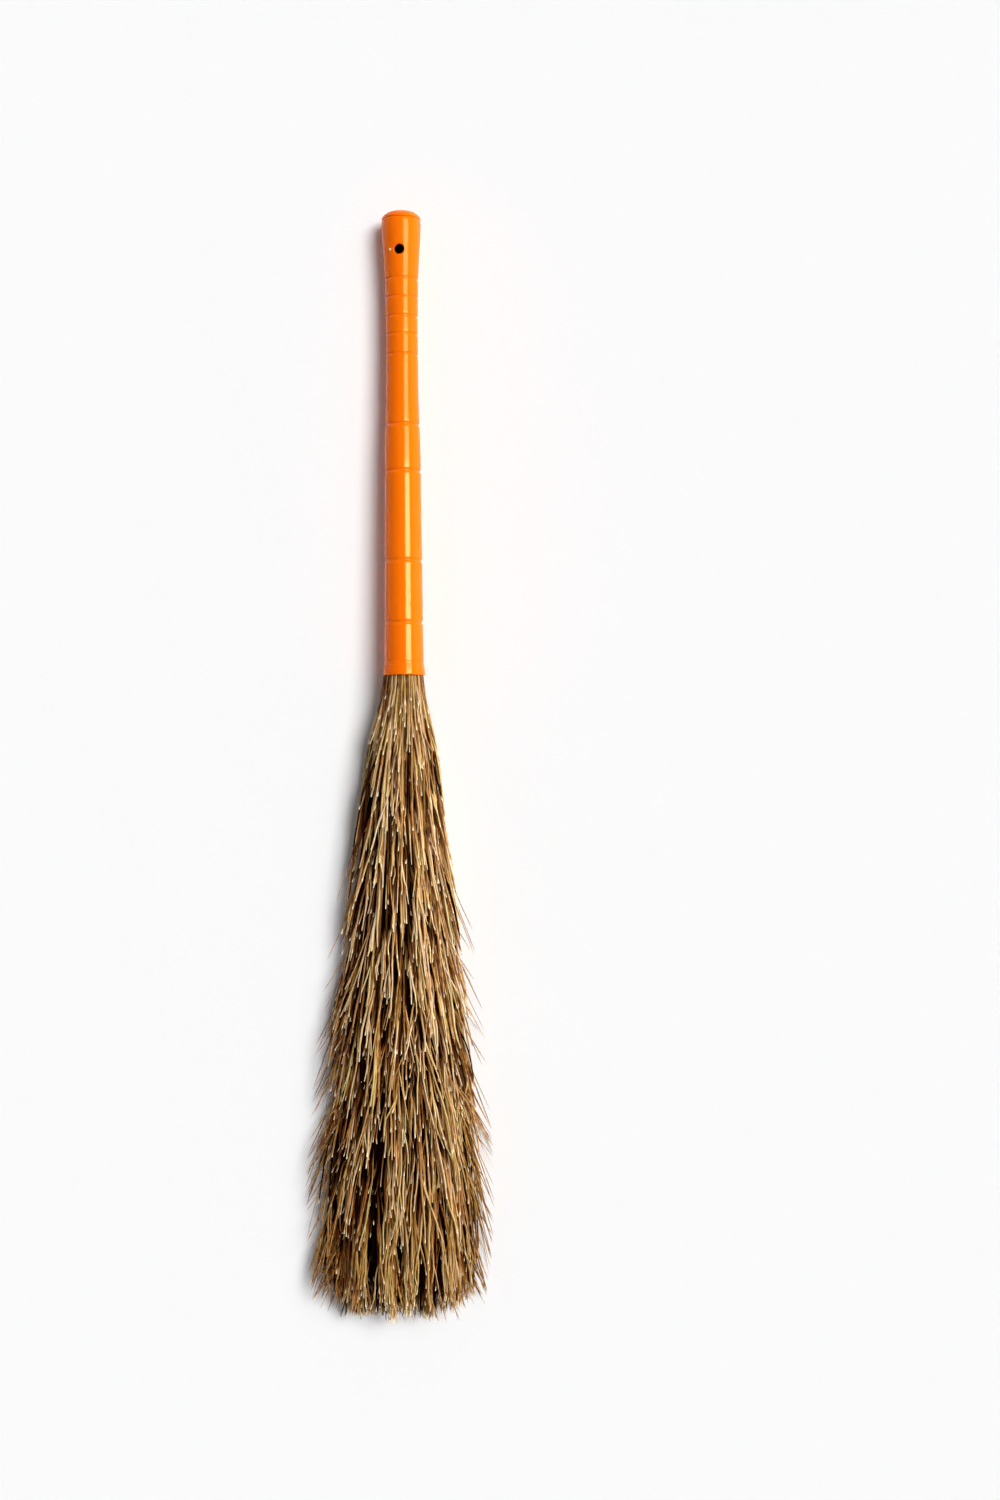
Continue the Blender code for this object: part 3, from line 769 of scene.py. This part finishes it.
def wander(count, stations, size):
    """A slow sideways wandering for each strand, as two offsets in metres at each station."""
    way = np.linspace(0, 1, stations)[None, :, None]
    offset = np.zeros((count, stations, 2))
    for waves in WANDER_WAVES:
        phase = numbers.uniform(0, 2 * math.pi, (count, 1, 2))
        height = numbers.normal(0, 1, (count, 1, 2)) / waves
        offset += height * (np.sin(2 * math.pi * waves * way + phase) - np.sin(phase))
    return offset * size


def courses(feet, first, length, stations, dive, lift, lean, wandering, pull):
    """The stations of each strand as x, y and z, and how deep each station lies."""
    count = len(feet)
    lock = nearest(feet, lock_centres)
    way = np.linspace(0, 1, stations)[None, :]
    below = first[:, None] + length[:, None] * way
    buried = 1 - (dive[:, None] * (1 - way) ** DIVE_CURVE)[..., None] * DIVE_SHARES
    spots = feet[:, None, :] * buried
    locks = lock_centres[lock][:, None, :]
    spots = spots + (pull * ease(below / LOCKED_BELOW))[..., None] * (locks * buried - spots)
    tufts = tuft_centres[nearest(feet, tuft_centres)][:, None, :]
    gather = TUFT_PULL * ease((below - TUFT_FROM) / (STRAW_LENGTH - TUFT_FROM))
    spots = spots + gather[..., None] * (tufts - spots)
    across, up = spots[..., 0], spots[..., 1]
    places = place_in_bundle(across, up, below)
    reach = np.maximum(np.hypot(across, up), SMALLEST_REACH)
    free = ease(below / FREE_BELOW)
    parting = free + GAPS_DEEPEN * ease((below - DEEPER_FROM) / (STRAW_LENGTH - DEEPER_FROM))
    raised = lift[:, None] * way**LIFT_CURVE + lock_rises[lock][:, None] * parting
    offset = wander(count, stations, wandering) * free[:, :, None]
    leaning = (lean + lock_leans[lock] * np.minimum(1, LEAN_REACH / length))[:, None]
    curl = numbers.normal(0, CURL, (count, 1)) * leaning
    sideways = length[:, None] * (leaning * way + curl * way * (way - 1)) * free
    places[..., 0] += SIDE_RAISE * raised * across / reach + offset[..., 0] + sideways
    places[..., 2] += raised * up / reach + offset[..., 1]
    depth = (1 - reach) * FULL_HALF_HEIGHT - raised
    return keep_to_sides(places, STRAND_SPILL), depth


# %% [markdown]
# A branch follows its parent down from where it leaves it, and parts from it more and more. So its course is
# read from the parent's own, and slides off sideways and up or down. That draws true forks.

# %% Branches that part from their stems
PARTED_BELOW = 0.28
CALM_SHARE = 0.15
BRANCH_LIFT_CURVE = 1.2
BRANCH_PART_CURVE = 1.15


def part_from(courses_of_stems, parents, leave_at, reach, stations, part, lift, spill):
    """The courses of branches, each leaving its parent at a share of the parent's length."""
    paths, depths = courses_of_stems
    last = paths.shape[1] - 1
    way = np.linspace(0, 1, stations)[None, :]
    along = (leave_at[:, None] + reach[:, None] * way) * last
    low = np.clip(along.astype(int), 0, last - 1)
    share = along - low
    stems = parents[:, None]
    places = paths[stems, low] + (paths[stems, low + 1] - paths[stems, low]) * share[..., None]
    depth = depths[stems, low] + (depths[stems, low + 1] - depths[stems, low]) * share
    length = np.linalg.norm(places[:, -1] - places[:, 0], axis=-1)[:, None]
    calm = np.clip((mouth_place.y - places[:, :1, 1]) / PARTED_BELOW, CALM_SHARE, 1)
    raised = length * calm * lift[:, None] * way**BRANCH_LIFT_CURVE
    parted = length * calm * part[:, None] * way**BRANCH_PART_CURVE
    places[..., 0] += parted
    places[..., 2] += raised
    places[..., 1] = np.maximum(places[..., 1], mouth_place.y - STRAW_LENGTH)
    return keep_to_sides(places, spill), depth - raised - np.abs(parted)


# %% [markdown]
# The strands are laid like a modifier would bend them: each vertex of the modelled straw slides to its
# share of the course, and its width becomes the strand's radius there. Every strand also carries a few
# numbers for its material: a tone, a tint, how pale its cut tip is, the distance from that tip, and the
# depth in the bundle.

# %% Lay copies of a straw along courses
UNEVEN_WIDTH = (0.93, 1.07)
CREAM_RANGE = (-0.3, 1.5)


def lay_straws(straw, paths, depths, radii):
    """Places of every vertex of every copy, its distance from its strand's tip, and its depth."""
    shape, _ = straw
    stations = paths.shape[1]
    position = shape[:, 2] * (stations - 1)
    low = np.minimum(position.astype(int), stations - 2)
    share = position - low

    def at_vertices(values):
        """Reads a value of the stations at every vertex."""
        weight = share[None, :, None] if values.ndim == 3 else share[None, :]
        return values[:, low] * (1 - weight) + values[:, low + 1] * weight

    slopes = np.gradient(paths, axis=1)
    slopes /= np.linalg.norm(slopes, axis=-1, keepdims=True)
    heading = at_vertices(slopes)
    side = np.cross(heading, (0.0, 0.0, 1.0))
    side /= np.linalg.norm(side, axis=-1, keepdims=True)
    above = np.cross(side, heading)
    radius = at_vertices(radii)
    across = (shape[:, 0] * radius)[..., None] * side
    upwards = (shape[:, 1] * radius)[..., None] * above
    lengths = np.linalg.norm(np.diff(paths, axis=1), axis=-1).sum(axis=1)
    to_tip = lengths[:, None] * (1 - shape[None, :, 2])
    return at_vertices(paths) + across + upwards, to_tip, at_vertices(depths)


def radii_along(base, taper_from, tip_share, stations):
    """A strand's radius at each station: full for a while, then tapering to its tip."""
    way = np.linspace(0, 1, stations)[None, :]
    taper = 1 - (1 - tip_share) * np.clip((way - taper_from) / (1 - taper_from), 0, 1)
    return base[:, None] * taper * numbers.uniform(*UNEVEN_WIDTH, (len(base), stations))


batches = []


def add_batch(straw, laid, radii, feet, cream, palest=1.0):
    """Keeps a finished batch of strands, with the tone, tint and cream of each."""
    paths, depths = laid
    places, to_tip, depth = lay_straws(straw, paths, depths, radii)
    count = len(paths)
    batches.append({
        "places": places, "faces": straw[1], "feet": feet, "to_tip": to_tip, "depth": depth,
        "tone": numbers.uniform(0, palest, (count, 1)) + np.zeros_like(to_tip),
        "tint": numbers.uniform(0, 1, (count, 1)) + np.zeros_like(to_tip),
        "cream": np.clip(numbers.uniform(*CREAM_RANGE, (count, 1)), 0, 1) * cream + np.zeros_like(to_tip),
    })


# %% [markdown]
# The stalks come first. Their feet stand in the handle, in three rings with a wire tie round each, and leave
# room for the peg in the middle. They give the bundle its body, and most run on under the rest.

# %% Stalks
FOOT_DEPTH = 0.100
STALK_ROWS = ((26, 0.30, 0.46), (54, 0.56, 0.70), (76, 0.81, 0.96))
STALK_STATIONS = 18
STALK_RADIUS = (0.00095, 0.00145)
STALK_LIFT = (-0.014, -0.004)
STALK_LEAN = 0.004
STALK_WANDERING = 0.0014
STALK_PULL = 0.35
STALK_TAPER = (0.35, 0.55)
SHORTEST_RINGS = (0.3, 0.6, 0.97)
SHORTEST_SHARES = (0.85, 0.6, 0.3)
USUAL_SHARE = 0.99
MOUTH_RADIUS = (0.00082, 0.00112)
FULL_WIDTH_BELOW = 0.05

stalk_feet = np.concatenate([
    sunflower(count, inner=inner / outer) * outer for count, inner, outer in STALK_ROWS
])
ring_share = np.linalg.norm(stalk_feet, axis=1)
STALKS = len(stalk_feet)
shortest = np.interp(ring_share, SHORTEST_RINGS, SHORTEST_SHARES)
stalk_length = longest_at(stalk_feet) * numbers.triangular(shortest, USUAL_SHARE, 1.0) + FOOT_DEPTH
stalk_laid = courses(
    stalk_feet, np.full(STALKS, -FOOT_DEPTH), stalk_length, STALK_STATIONS,
    dive=np.zeros(STALKS), lift=numbers.uniform(*STALK_LIFT, STALKS) * ring_share,
    lean=numbers.normal(0, STALK_LEAN, STALKS), wandering=STALK_WANDERING, pull=STALK_PULL,
)
stalk_radii = radii_along(numbers.uniform(*STALK_RADIUS, STALKS), *STALK_TAPER, STALK_STATIONS)
mouth_radii = numbers.uniform(*MOUTH_RADIUS, (STALKS, 1))
below_mouth = mouth_place.y - stalk_laid[0][:, :, 1]
stalk_radii = mouth_radii + (stalk_radii - mouth_radii) * ease(below_mouth / FULL_WIDTH_BELOW)
add_batch(stalk, stalk_laid, stalk_radii, stalk_feet, 1.0)
print(STALKS, "stalks")

# %% [markdown]
# The stems make the thatch. Each starts buried, surfaces further down and ends up to a few millimetres above
# its neighbours, so that cut tips and their shadows show at every height. The lower they end, the more of
# them there are, and the slimmer they get.

# %% Stems
STEMS = 4000
STEM_STATIONS = 12
STEM_INNER = 0.72
STEM_JITTER = 0.03
OUTERMOST_FOOT = 0.97
STEM_RADIUS = (0.00072, 0.00128)
STEM_LENGTHS = (0.036, 0.115)
STEM_START = 0.004
FIRST_TIP = 0.018
STEM_DIVE = (0.10, 0.46)
STEM_LIFT = (-0.001, 0.0015, 0.0055)
STEM_LEAN = 0.040
STEM_WANDERING = 0.0009
STEM_PULL = 0.34
STEM_TAPER = (0.45, 0.68)
OUTWARD_LEAN = 0.055
TIP_CROWDING = 0.80
TO_THE_END_SHARE = 0.15
END_TIPS = (0.945, 1.0)
SLIMMER_AT_END = 0.18
STRAY_SHARE = 0.12
STRAY_LEAN = 0.12

stem_feet = sunflower(STEMS, inner=STEM_INNER, jitter=STEM_JITTER)
numbers.shuffle(stem_feet)
stem_feet *= OUTERMOST_FOOT
tip_share = numbers.uniform(0, 1, STEMS) ** TIP_CROWDING
to_the_end = numbers.uniform(0, 1, STEMS) < TO_THE_END_SHARE
tip_share = np.where(to_the_end, numbers.uniform(*END_TIPS, STEMS), tip_share)
stem_tip = FIRST_TIP + (longest_at(stem_feet) - FIRST_TIP) * tip_share
stem_first = np.maximum(stem_tip - numbers.uniform(*STEM_LENGTHS, STEMS), STEM_START)
stem_lean = numbers.normal(0, STEM_LEAN, STEMS) + OUTWARD_LEAN * stem_feet[:, 0]
strays = numbers.uniform(0, 1, STEMS) < STRAY_SHARE
stem_lean += strays * numbers.normal(0, STRAY_LEAN, STEMS)
stem_laid = courses(
    stem_feet, stem_first, stem_tip - stem_first, STEM_STATIONS,
    dive=numbers.uniform(*STEM_DIVE, STEMS), lift=numbers.triangular(*STEM_LIFT, STEMS),
    lean=stem_lean, wandering=STEM_WANDERING, pull=STEM_PULL,
)
slimmer = 1 - SLIMMER_AT_END * stem_tip / STRAW_LENGTH
stem_radii = radii_along(numbers.uniform(*STEM_RADIUS, STEMS) * slimmer, *STEM_TAPER, STEM_STATIONS)
add_batch(stem, stem_laid, stem_radii, stem_feet, 1.0)
print(STEMS, "stems")

# %% [markdown]
# Sprigs leave the stems in the middle half of their length and part to either side.

# %% Sprigs
SPRIGS = 1700
SPRIG_STATIONS = 8
SPRIG_LENGTHS = (0.026, 0.070)
SPRIG_SPILL = 0.008
SPRIG_LEAVES = (0.25, 0.75)
SPRIG_PAST_STEM = 1.12
SHORTEST_SPRIG = 0.1
SPRIG_LIFT = (-0.01, 0.045)
UNDERSIDE_FROM = -0.3
SPRIG_WIDTHS = (0.70, 0.95)
SPRIG_TAPER = (0.3, 0.6)
PART_SLOPE = 0.14

sprig_stems = numbers.integers(0, STEMS, SPRIGS)
leave_at = numbers.uniform(*SPRIG_LEAVES, SPRIGS)
stem_length = (stem_tip - stem_first)[sprig_stems]
sprig_reach = np.minimum(numbers.uniform(*SPRIG_LENGTHS, SPRIGS) / stem_length, SPRIG_PAST_STEM - leave_at)
room = (longest_at(stem_feet) - stem_first)[sprig_stems] / stem_length - leave_at
sprig_reach = np.maximum(np.minimum(sprig_reach, room), SHORTEST_SPRIG)
sprig_laid = part_from(
    stem_laid, sprig_stems, leave_at, sprig_reach, SPRIG_STATIONS,
    part=numbers.normal(0, PART_SLOPE, SPRIGS),
    lift=numbers.uniform(*SPRIG_LIFT, SPRIGS) * np.sign(stem_feet[sprig_stems, 1] - UNDERSIDE_FROM),
    spill=SPRIG_SPILL,
)
leave_row = np.minimum((leave_at * STEM_STATIONS).astype(int), STEM_STATIONS - 1)
sprig_base = stem_radii[sprig_stems, leave_row] * numbers.uniform(*SPRIG_WIDTHS, SPRIGS)
sprig_radii = radii_along(sprig_base, *SPRIG_TAPER, SPRIG_STATIONS)
add_batch(sprig, sprig_laid, sprig_radii, stem_feet[sprig_stems], 1.0)
print(SPRIGS, "sprigs")

# %% [markdown]
# Hairs are thinner still. They leave the sprigs below their first third. Most of them grow at the sides of
# the bundle and towards the sweeping end, where they part outwards, and none close to the handle.

# %% Hairs
HAIRS = 700
HAIR_STATIONS = 7
HAIR_RADIUS = (0.00036, 0.00062)
HAIR_PALEST = 0.36
HAIR_LENGTHS = (0.030, 0.075)
HAIR_SPILL = 0.018
HAIRLESS_SHARE = 0.15
HAIR_CROWDING = 1.8
MIDDLE_HAIRS = 0.12
SIDE_POWER = 3
HAIR_LEAVES = (0.35, 0.90)
SHORTEST_HAIR = 0.15
HAIR_LIFT = (-0.03, 0.05)
HAIR_TAPER = (0.1, 0.5)
HAIR_SLOPE = 0.06
FAN_SLOPE = 0.42
HAIR_CREAM = 0.4

sprig_low = mouth_place.y - sprig_laid[0][:, -1, 1]
sprig_side = stem_feet[sprig_stems, 0]
wispy = np.clip(sprig_low / STRAW_LENGTH - HAIRLESS_SHARE, 0, 1) ** HAIR_CROWDING
wispy *= MIDDLE_HAIRS + np.abs(sprig_side) ** SIDE_POWER
hair_sprigs = numbers.choice(SPRIGS, HAIRS, p=wispy / wispy.sum())
hair_leave = numbers.uniform(*HAIR_LEAVES, HAIRS)
sprig_length = np.linalg.norm(sprig_laid[0][:, -1] - sprig_laid[0][:, 0], axis=-1)[hair_sprigs]
hair_reach = numbers.uniform(*HAIR_LENGTHS, HAIRS) / sprig_length
room = (longest_at(stem_feet)[sprig_stems] - sprig_low)[hair_sprigs] / sprig_length + 1 - hair_leave
hair_reach = np.maximum(np.minimum(hair_reach, room), SHORTEST_HAIR)
hair_part = numbers.normal(0, HAIR_SLOPE, HAIRS)
hair_part += np.abs(numbers.normal(0, FAN_SLOPE, HAIRS)) * sprig_side[hair_sprigs] ** SIDE_POWER
hair_laid = part_from(
    sprig_laid, hair_sprigs, hair_leave, hair_reach, HAIR_STATIONS,
    part=hair_part, lift=numbers.uniform(*HAIR_LIFT, HAIRS), spill=HAIR_SPILL,
)
hair_radii = radii_along(numbers.uniform(*HAIR_RADIUS, HAIRS), *HAIR_TAPER, HAIR_STATIONS)
add_batch(hair, hair_laid, hair_radii, stem_feet[sprig_stems[hair_sprigs]], HAIR_CREAM, HAIR_PALEST)
print(HAIRS, "hairs")

# %% [markdown]
# The frame groups the stems in hanks: 4 in the core, 8 round them and 12 outside. Each strand belongs to
# the hank that its foot stands in, and each hank is joined into one piece that stands for its CAD node.
# A straw's side is shaded round and its cut end flat, so the angle that counts as sharp lies between that of
# two neighbouring sides of a five-sided straw, 72 degrees, and that of a side and the cut, 90 degrees. Only
# the hairs, with four sides, keep sharp edges along them.

# %% Join the strands into hanks
HANKS = (("core_stems", 4, 0.35, 0.51), ("middle_stems", 8, 0.2, 0.75), ("outer_stems", 12, 0.5, 9.0))
STRAND_NUMBERS = ("to_tip", "depth", "tone", "tint", "cream")
CUT_ANGLE = math.radians(82)


def hank_of(feet):
    """The name of the hank that each foot stands in."""
    radius = np.linalg.norm(feet, axis=1)
    angle = np.arctan2(-feet[:, 1], feet[:, 0])
    names = np.empty(len(feet), dtype=object)
    free = np.ones(len(feet), dtype=bool)
    for name, hanks, turn_share, outer in HANKS:
        sector = 2 * math.pi / hanks
        index = np.floor((angle / sector - turn_share) % hanks).astype(int)
        chosen = free & (radius < outer)
        for number in range(hanks):
            names[chosen & (index == number)] = f"{name}_{number + 1:02d}"
        free &= ~chosen
    return names


def join_hank(name, chosen):
    """One mesh of all the strands of a hank, with their numbers as attributes."""
    places, faces, start = [], [], 0
    values = {label: [] for label in STRAND_NUMBERS}
    for batch, rows in chosen:
        per_strand = batch["places"].shape[1]
        for _ in rows:
            faces += [tuple(start + corner for corner in face) for face in batch["faces"]]
            start += per_strand
        places.append(batch["places"][rows].reshape(-1, 3))
        for label in STRAND_NUMBERS:
            values[label].append(batch[label][rows].ravel())
    mesh = bpy.data.meshes.new(name)
    mesh.from_pydata(np.concatenate(places).tolist(), [], faces)
    mesh.update()
    for label in STRAND_NUMBERS:
        attribute = mesh.attributes.new(label, "FLOAT", "POINT")
        attribute.data.foreach_set("value", np.concatenate(values[label]).astype(np.float32))
    mesh.shade_smooth()
    mesh.set_sharp_from_angle(angle=CUT_ANGLE)
    hank = bpy.data.objects.new(name, mesh)
    bpy.context.scene.collection.objects.link(hank)
    return hank


start_afresh()
names_of = [hank_of(batch["feet"]) for batch in batches]
hank_pieces = []
for layer, hanks, _, _ in HANKS:
    for number in range(hanks):
        node = f"{layer}_{number + 1:02d}"
        chosen = [(batch, np.where(names == node)[0]) for batch, names in zip(batches, names_of)]
        piece = join_hank("straw_" + node, chosen)
        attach(piece, "root")
        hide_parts(node)
        hank_pieces.append(piece)
print("largest hank:", max(len(piece.data.polygons) for piece in hank_pieces), "faces")
print("all straw:", sum(len(piece.data.polygons) for piece in hank_pieces), "faces")

# %% [markdown]
# Dry straw runs from pale tan to dark orange brown, and each strand has its own tone. It is darker at the
# mouth of the handle and again towards the sweeping end. Fibres show as fine streaks along the broom, and
# weathering leaves it paler or darker in patches. Buried straw gets painted shade: its colour darkens to a
# near black red brown with the strand's depth in the bundle, and its sheen fades too, but a cut tip is
# cream at any depth.

# %% Straw
STRAW_TONES = (
    (0.00, (0.16, 0.048, 0.008)), (0.14, (0.37, 0.155, 0.036)), (0.32, (0.60, 0.355, 0.130)),
    (0.50, (0.70, 0.465, 0.217)), (0.66, (0.73, 0.520, 0.285)), (0.82, (0.745, 0.560, 0.350)),
    (1.00, (0.755, 0.605, 0.430)),
)
STRAW_TINTS = (
    (0.0, (0.88, 1.0, 0.68)), (0.3, (0.98, 1.0, 0.88)), (0.6, (1.0, 0.96, 0.98)), (0.8, (1.0, 0.95, 1.06)),
    (1.0, (1.0, 0.84, 0.60)),
)
# The straw's colour along the broom: darker next to the handle's mouth and towards the sweeping end.
STRAW_ALONG_TONES = (
    (0.00, (0.78, 0.71, 0.53)), (0.12, (0.75, 0.69, 0.55)), (0.32, (0.90, 0.88, 0.82)),
    (0.49, (0.89, 0.85, 0.80)), (0.64, (0.99, 0.97, 0.93)), (0.80, (1.0, 1.0, 1.0)),
    (0.97, (0.64, 0.58, 0.50)),
)
TIP_CREAM = (0.97, 0.81, 0.56, 1.0)
TIP_LENGTH = 0.0048
SUNKEN_SHADE_TONES = (
    (0.0, (1.0, 1.0, 1.0)), (0.3, (0.82, 0.70, 0.56)), (0.58, (0.24, 0.112, 0.036)),
    (0.85, (0.018, 0.003, 0.001)),
)
STRAW_SHEEN = 0.25
STREAK_SHARE = 0.12
STREAK_WEIGHT = 0.5
WEATHER_WEIGHT = 0.8
TONE_SHIFT = 0.65
SHALLOW = 0.0010
DEEP = 0.0085


def dry_straw():
    """Straw with a tone for each strand, streaks along it, a cream tip and painted shade in its depths."""
    material, tree, shader = new_finish("dry_straw", Roughness=0.34, IOR=1.45)
    place = own_place(tree)
    to_tip, depth, tone, tint, cream = (
        add_node(tree, "ShaderNodeAttribute", {"attribute_name": label}).outputs["Fac"]
        for label in STRAND_NUMBERS
    )
    streaks = add_noise(tree, drawn_out(tree, place, STREAK_SHARE), scale=1400.0, detail=3.0)
    weather = add_noise(tree, place, scale=150.0, detail=4.0)
    mixed = add_math(tree, "MULTIPLY_ADD", streaks, STREAK_WEIGHT, tone)
    mixed = add_math(tree, "MULTIPLY_ADD", weather, WEATHER_WEIGHT, mixed)
    colour = add_ramp(tree, add_math(tree, "SUBTRACT", mixed, TONE_SHIFT), STRAW_TONES)
    colour = add_mix(tree, 1.0, colour, add_ramp(tree, tint, STRAW_TINTS), "MULTIPLY")
    height = add_node(tree, "ShaderNodeSeparateXYZ", Vector=place).outputs["Y"]
    towards_mouth = map_range(tree, height, (mouth_place.y - STRAW_LENGTH, mouth_place.y))
    colour = add_mix(tree, 1.0, colour, add_ramp(tree, towards_mouth, STRAW_ALONG_TONES), "MULTIPLY")
    # Painted shade: the deeper a strand lies in the bundle, the darker it is painted.
    buried_shade = add_ramp(tree, map_range(tree, depth, (SHALLOW, DEEP)), SUNKEN_SHADE_TONES)
    colour = add_mix(tree, 1.0, colour, buried_shade, "MULTIPLY")
    sheen = map_range(tree, depth, (SHALLOW, DEEP), (STRAW_SHEEN, 0.0))
    tree.links.new(sheen, shader.inputs["Specular IOR Level"])
    at_tip = map_range(tree, to_tip, (TIP_LENGTH, TIP_LENGTH / 3))
    colour = add_mix(tree, add_math(tree, "MULTIPLY", at_tip, cream), colour, TIP_CREAM)
    tree.links.new(colour, shader.inputs["Base Color"])
    add_bump(tree, shader, streaks, strength=0.5, distance=0.0002)
    return material


straw_finish = dry_straw()
for piece in hank_pieces:
    give(piece, straw_finish)
print(len(hank_pieces), "hanks got", straw_finish.name)

# %% [markdown]
# The floor is a plain white sheet that catches the soft shadow. It is the stage, not part of the broom.

# %% Floor
FLOOR_SIZE = 12.0
FLOOR_WHITE = (0.96, 0.96, 0.965, 1.0)

start_afresh()
bpy.ops.mesh.primitive_plane_add(size=FLOOR_SIZE, location=(0, 0, 0))
floor = bpy.context.object
floor.name = "floor"
give(floor, new_finish("white_floor", Base_Color=FLOOR_WHITE, Roughness=0.9, Specular_IOR_Level=0.0)[0])

# %% [markdown]
# The camera hangs straight above the floor and looks down, so the broom shows at its true outline. It is
# set off to the right and turned a hair, because the photograph's broom lies left of the middle and leans.
# The middle of the mouth's rim is the point that is lined up with the photograph.

# %% Camera
PHOTO_PIXELS = (1000, 1500)
MOUTH_PIXEL = (403.2, 675.0)
LEAN_IN_VIEW = math.radians(-0.46)
LENS = 50.0
SENSOR = 36.0
CAMERA_HEIGHT = 1.889

camera_data = bpy.data.cameras.new("overhead")
camera_data.lens = LENS
camera_data.sensor_width = SENSOR
camera_data.sensor_fit = "AUTO"
camera = bpy.data.objects.new("overhead", camera_data)
bpy.context.scene.collection.objects.link(camera)
rim_top = mouth_place.z + RIM_RADIUS
metres_per_pixel = (CAMERA_HEIGHT - rim_top) * SENSOR / LENS / PHOTO_PIXELS[1]
rightwards = Vector((math.cos(LEAN_IN_VIEW), math.sin(LEAN_IN_VIEW), 0))
upwards = Vector((-math.sin(LEAN_IN_VIEW), math.cos(LEAN_IN_VIEW), 0))
camera.location = (
    Vector((mouth_place.x, mouth_place.y, CAMERA_HEIGHT))
    + rightwards * (PHOTO_PIXELS[0] / 2 - MOUTH_PIXEL[0]) * metres_per_pixel
    - upwards * (PHOTO_PIXELS[1] / 2 - MOUTH_PIXEL[1]) * metres_per_pixel
)
camera.rotation_euler = (0, 0, LEAN_IN_VIEW)
bpy.context.scene.camera = camera
print("camera at", tuple(round(value, 3) for value in camera.location))

# %% [markdown]
# The light comes mostly from above and from the right. A broad, distant lamp, about a third of the way down
# from straight above, lights everything evenly and throws the soft shadow. A low, soft one comes from the
# right and models the round shapes; it is linked to the broom alone, because on the floor it would only draw
# a long faint shadow. Two long strip lamps show only in what is glossy, and draw the line of light along the
# handle, bright up to the grip and dimmer beyond. The sky is pale at the horizon and dim overhead, so that a
# colour renders about as it is written.

# %% Light
KEY_SLOPE = (0.55, 0.35)
KEY_SPREAD = math.radians(30)
KEY_STRENGTH = 3.08
SIDE_TILT = math.radians(76)
SIDE_SPREAD = math.radians(40)
SIDE_STRENGTH = 2.5
STRIP_TILT = math.radians(30)
STRIP_DISTANCE = 2.0
STRIP_WIDTH = 1.05
STRIP_COLOUR = (1.0, 0.80, 0.34)
STRIPS = (("bright_strip", -0.30, 0.71, 42.0), ("dim_strip", 0.71, 1.60, 19.0))
SKY_STRENGTHS = (0.86, 0.18)
SKY_LEVEL = (0.02, 0.12)


def add_lamp(name, kind, energy, tilt, azimuth=0.0):
    """A lamp of a kind, tilted to one side."""
    data = bpy.data.lights.new(name, kind)
    data.energy = energy
    lamp = bpy.data.objects.new(name, data)
    bpy.context.scene.collection.objects.link(lamp)
    lamp.rotation_euler = (0, tilt, azimuth)
    return lamp


def add_sun(name, tilt, azimuth, spread, strength):
    """A distant lamp that shows in nothing glossy."""
    lamp = add_lamp(name, "SUN", strength, tilt, azimuth)
    lamp.data.angle = spread
    lamp.visible_glossy = False
    return lamp


def add_strip(name, low, high, radiance):
    """A long lamp along the handle that shows only in what is glossy."""
    lamp = add_lamp(name, "AREA", radiance * math.pi * STRIP_WIDTH * (high - low), STRIP_TILT)
    lamp.data.shape = "RECTANGLE"
    lamp.data.size = STRIP_WIDTH
    lamp.data.size_y = high - low
    lamp.data.color = STRIP_COLOUR
    sideways = STRIP_DISTANCE * math.sin(STRIP_TILT)
    lamp.location = (mouth_place.x + sideways, (low + high) / 2, STRIP_DISTANCE * math.cos(STRIP_TILT))
    lamp.visible_diffuse = False


key_tilt = math.atan(math.hypot(*KEY_SLOPE))
add_sun("broad_key", key_tilt, math.atan2(KEY_SLOPE[1], KEY_SLOPE[0]), KEY_SPREAD, KEY_STRENGTH)
side_fill = add_sun("side_fill", SIDE_TILT, 0, SIDE_SPREAD, SIDE_STRENGTH)
broom_pieces = bpy.data.collections.new("broom_pieces")
for piece in [handle_tube, end_plug, *hank_pieces]:
    broom_pieces.objects.link(piece)
side_fill.light_linking.receiver_collection = broom_pieces
for name, low, high, radiance in STRIPS:
    add_strip(name, low, high, radiance)

world = bpy.data.worlds.new("white_sky")
bpy.context.scene.world = world
world.use_nodes = True
sky_tree = world.node_tree
sky = sky_tree.nodes["Background"]
sky.inputs["Color"].default_value = (1, 1, 1, 1)
heading = add_node(sky_tree, "ShaderNodeTexCoord").outputs["Generated"]
heading_height = add_node(sky_tree, "ShaderNodeSeparateXYZ", Vector=heading).outputs["Z"]
sky_tree.links.new(map_range(sky_tree, heading_height, SKY_LEVEL, SKY_STRENGTHS), sky.inputs["Strength"])
bpy.context.scene.view_settings.view_transform = "Standard"
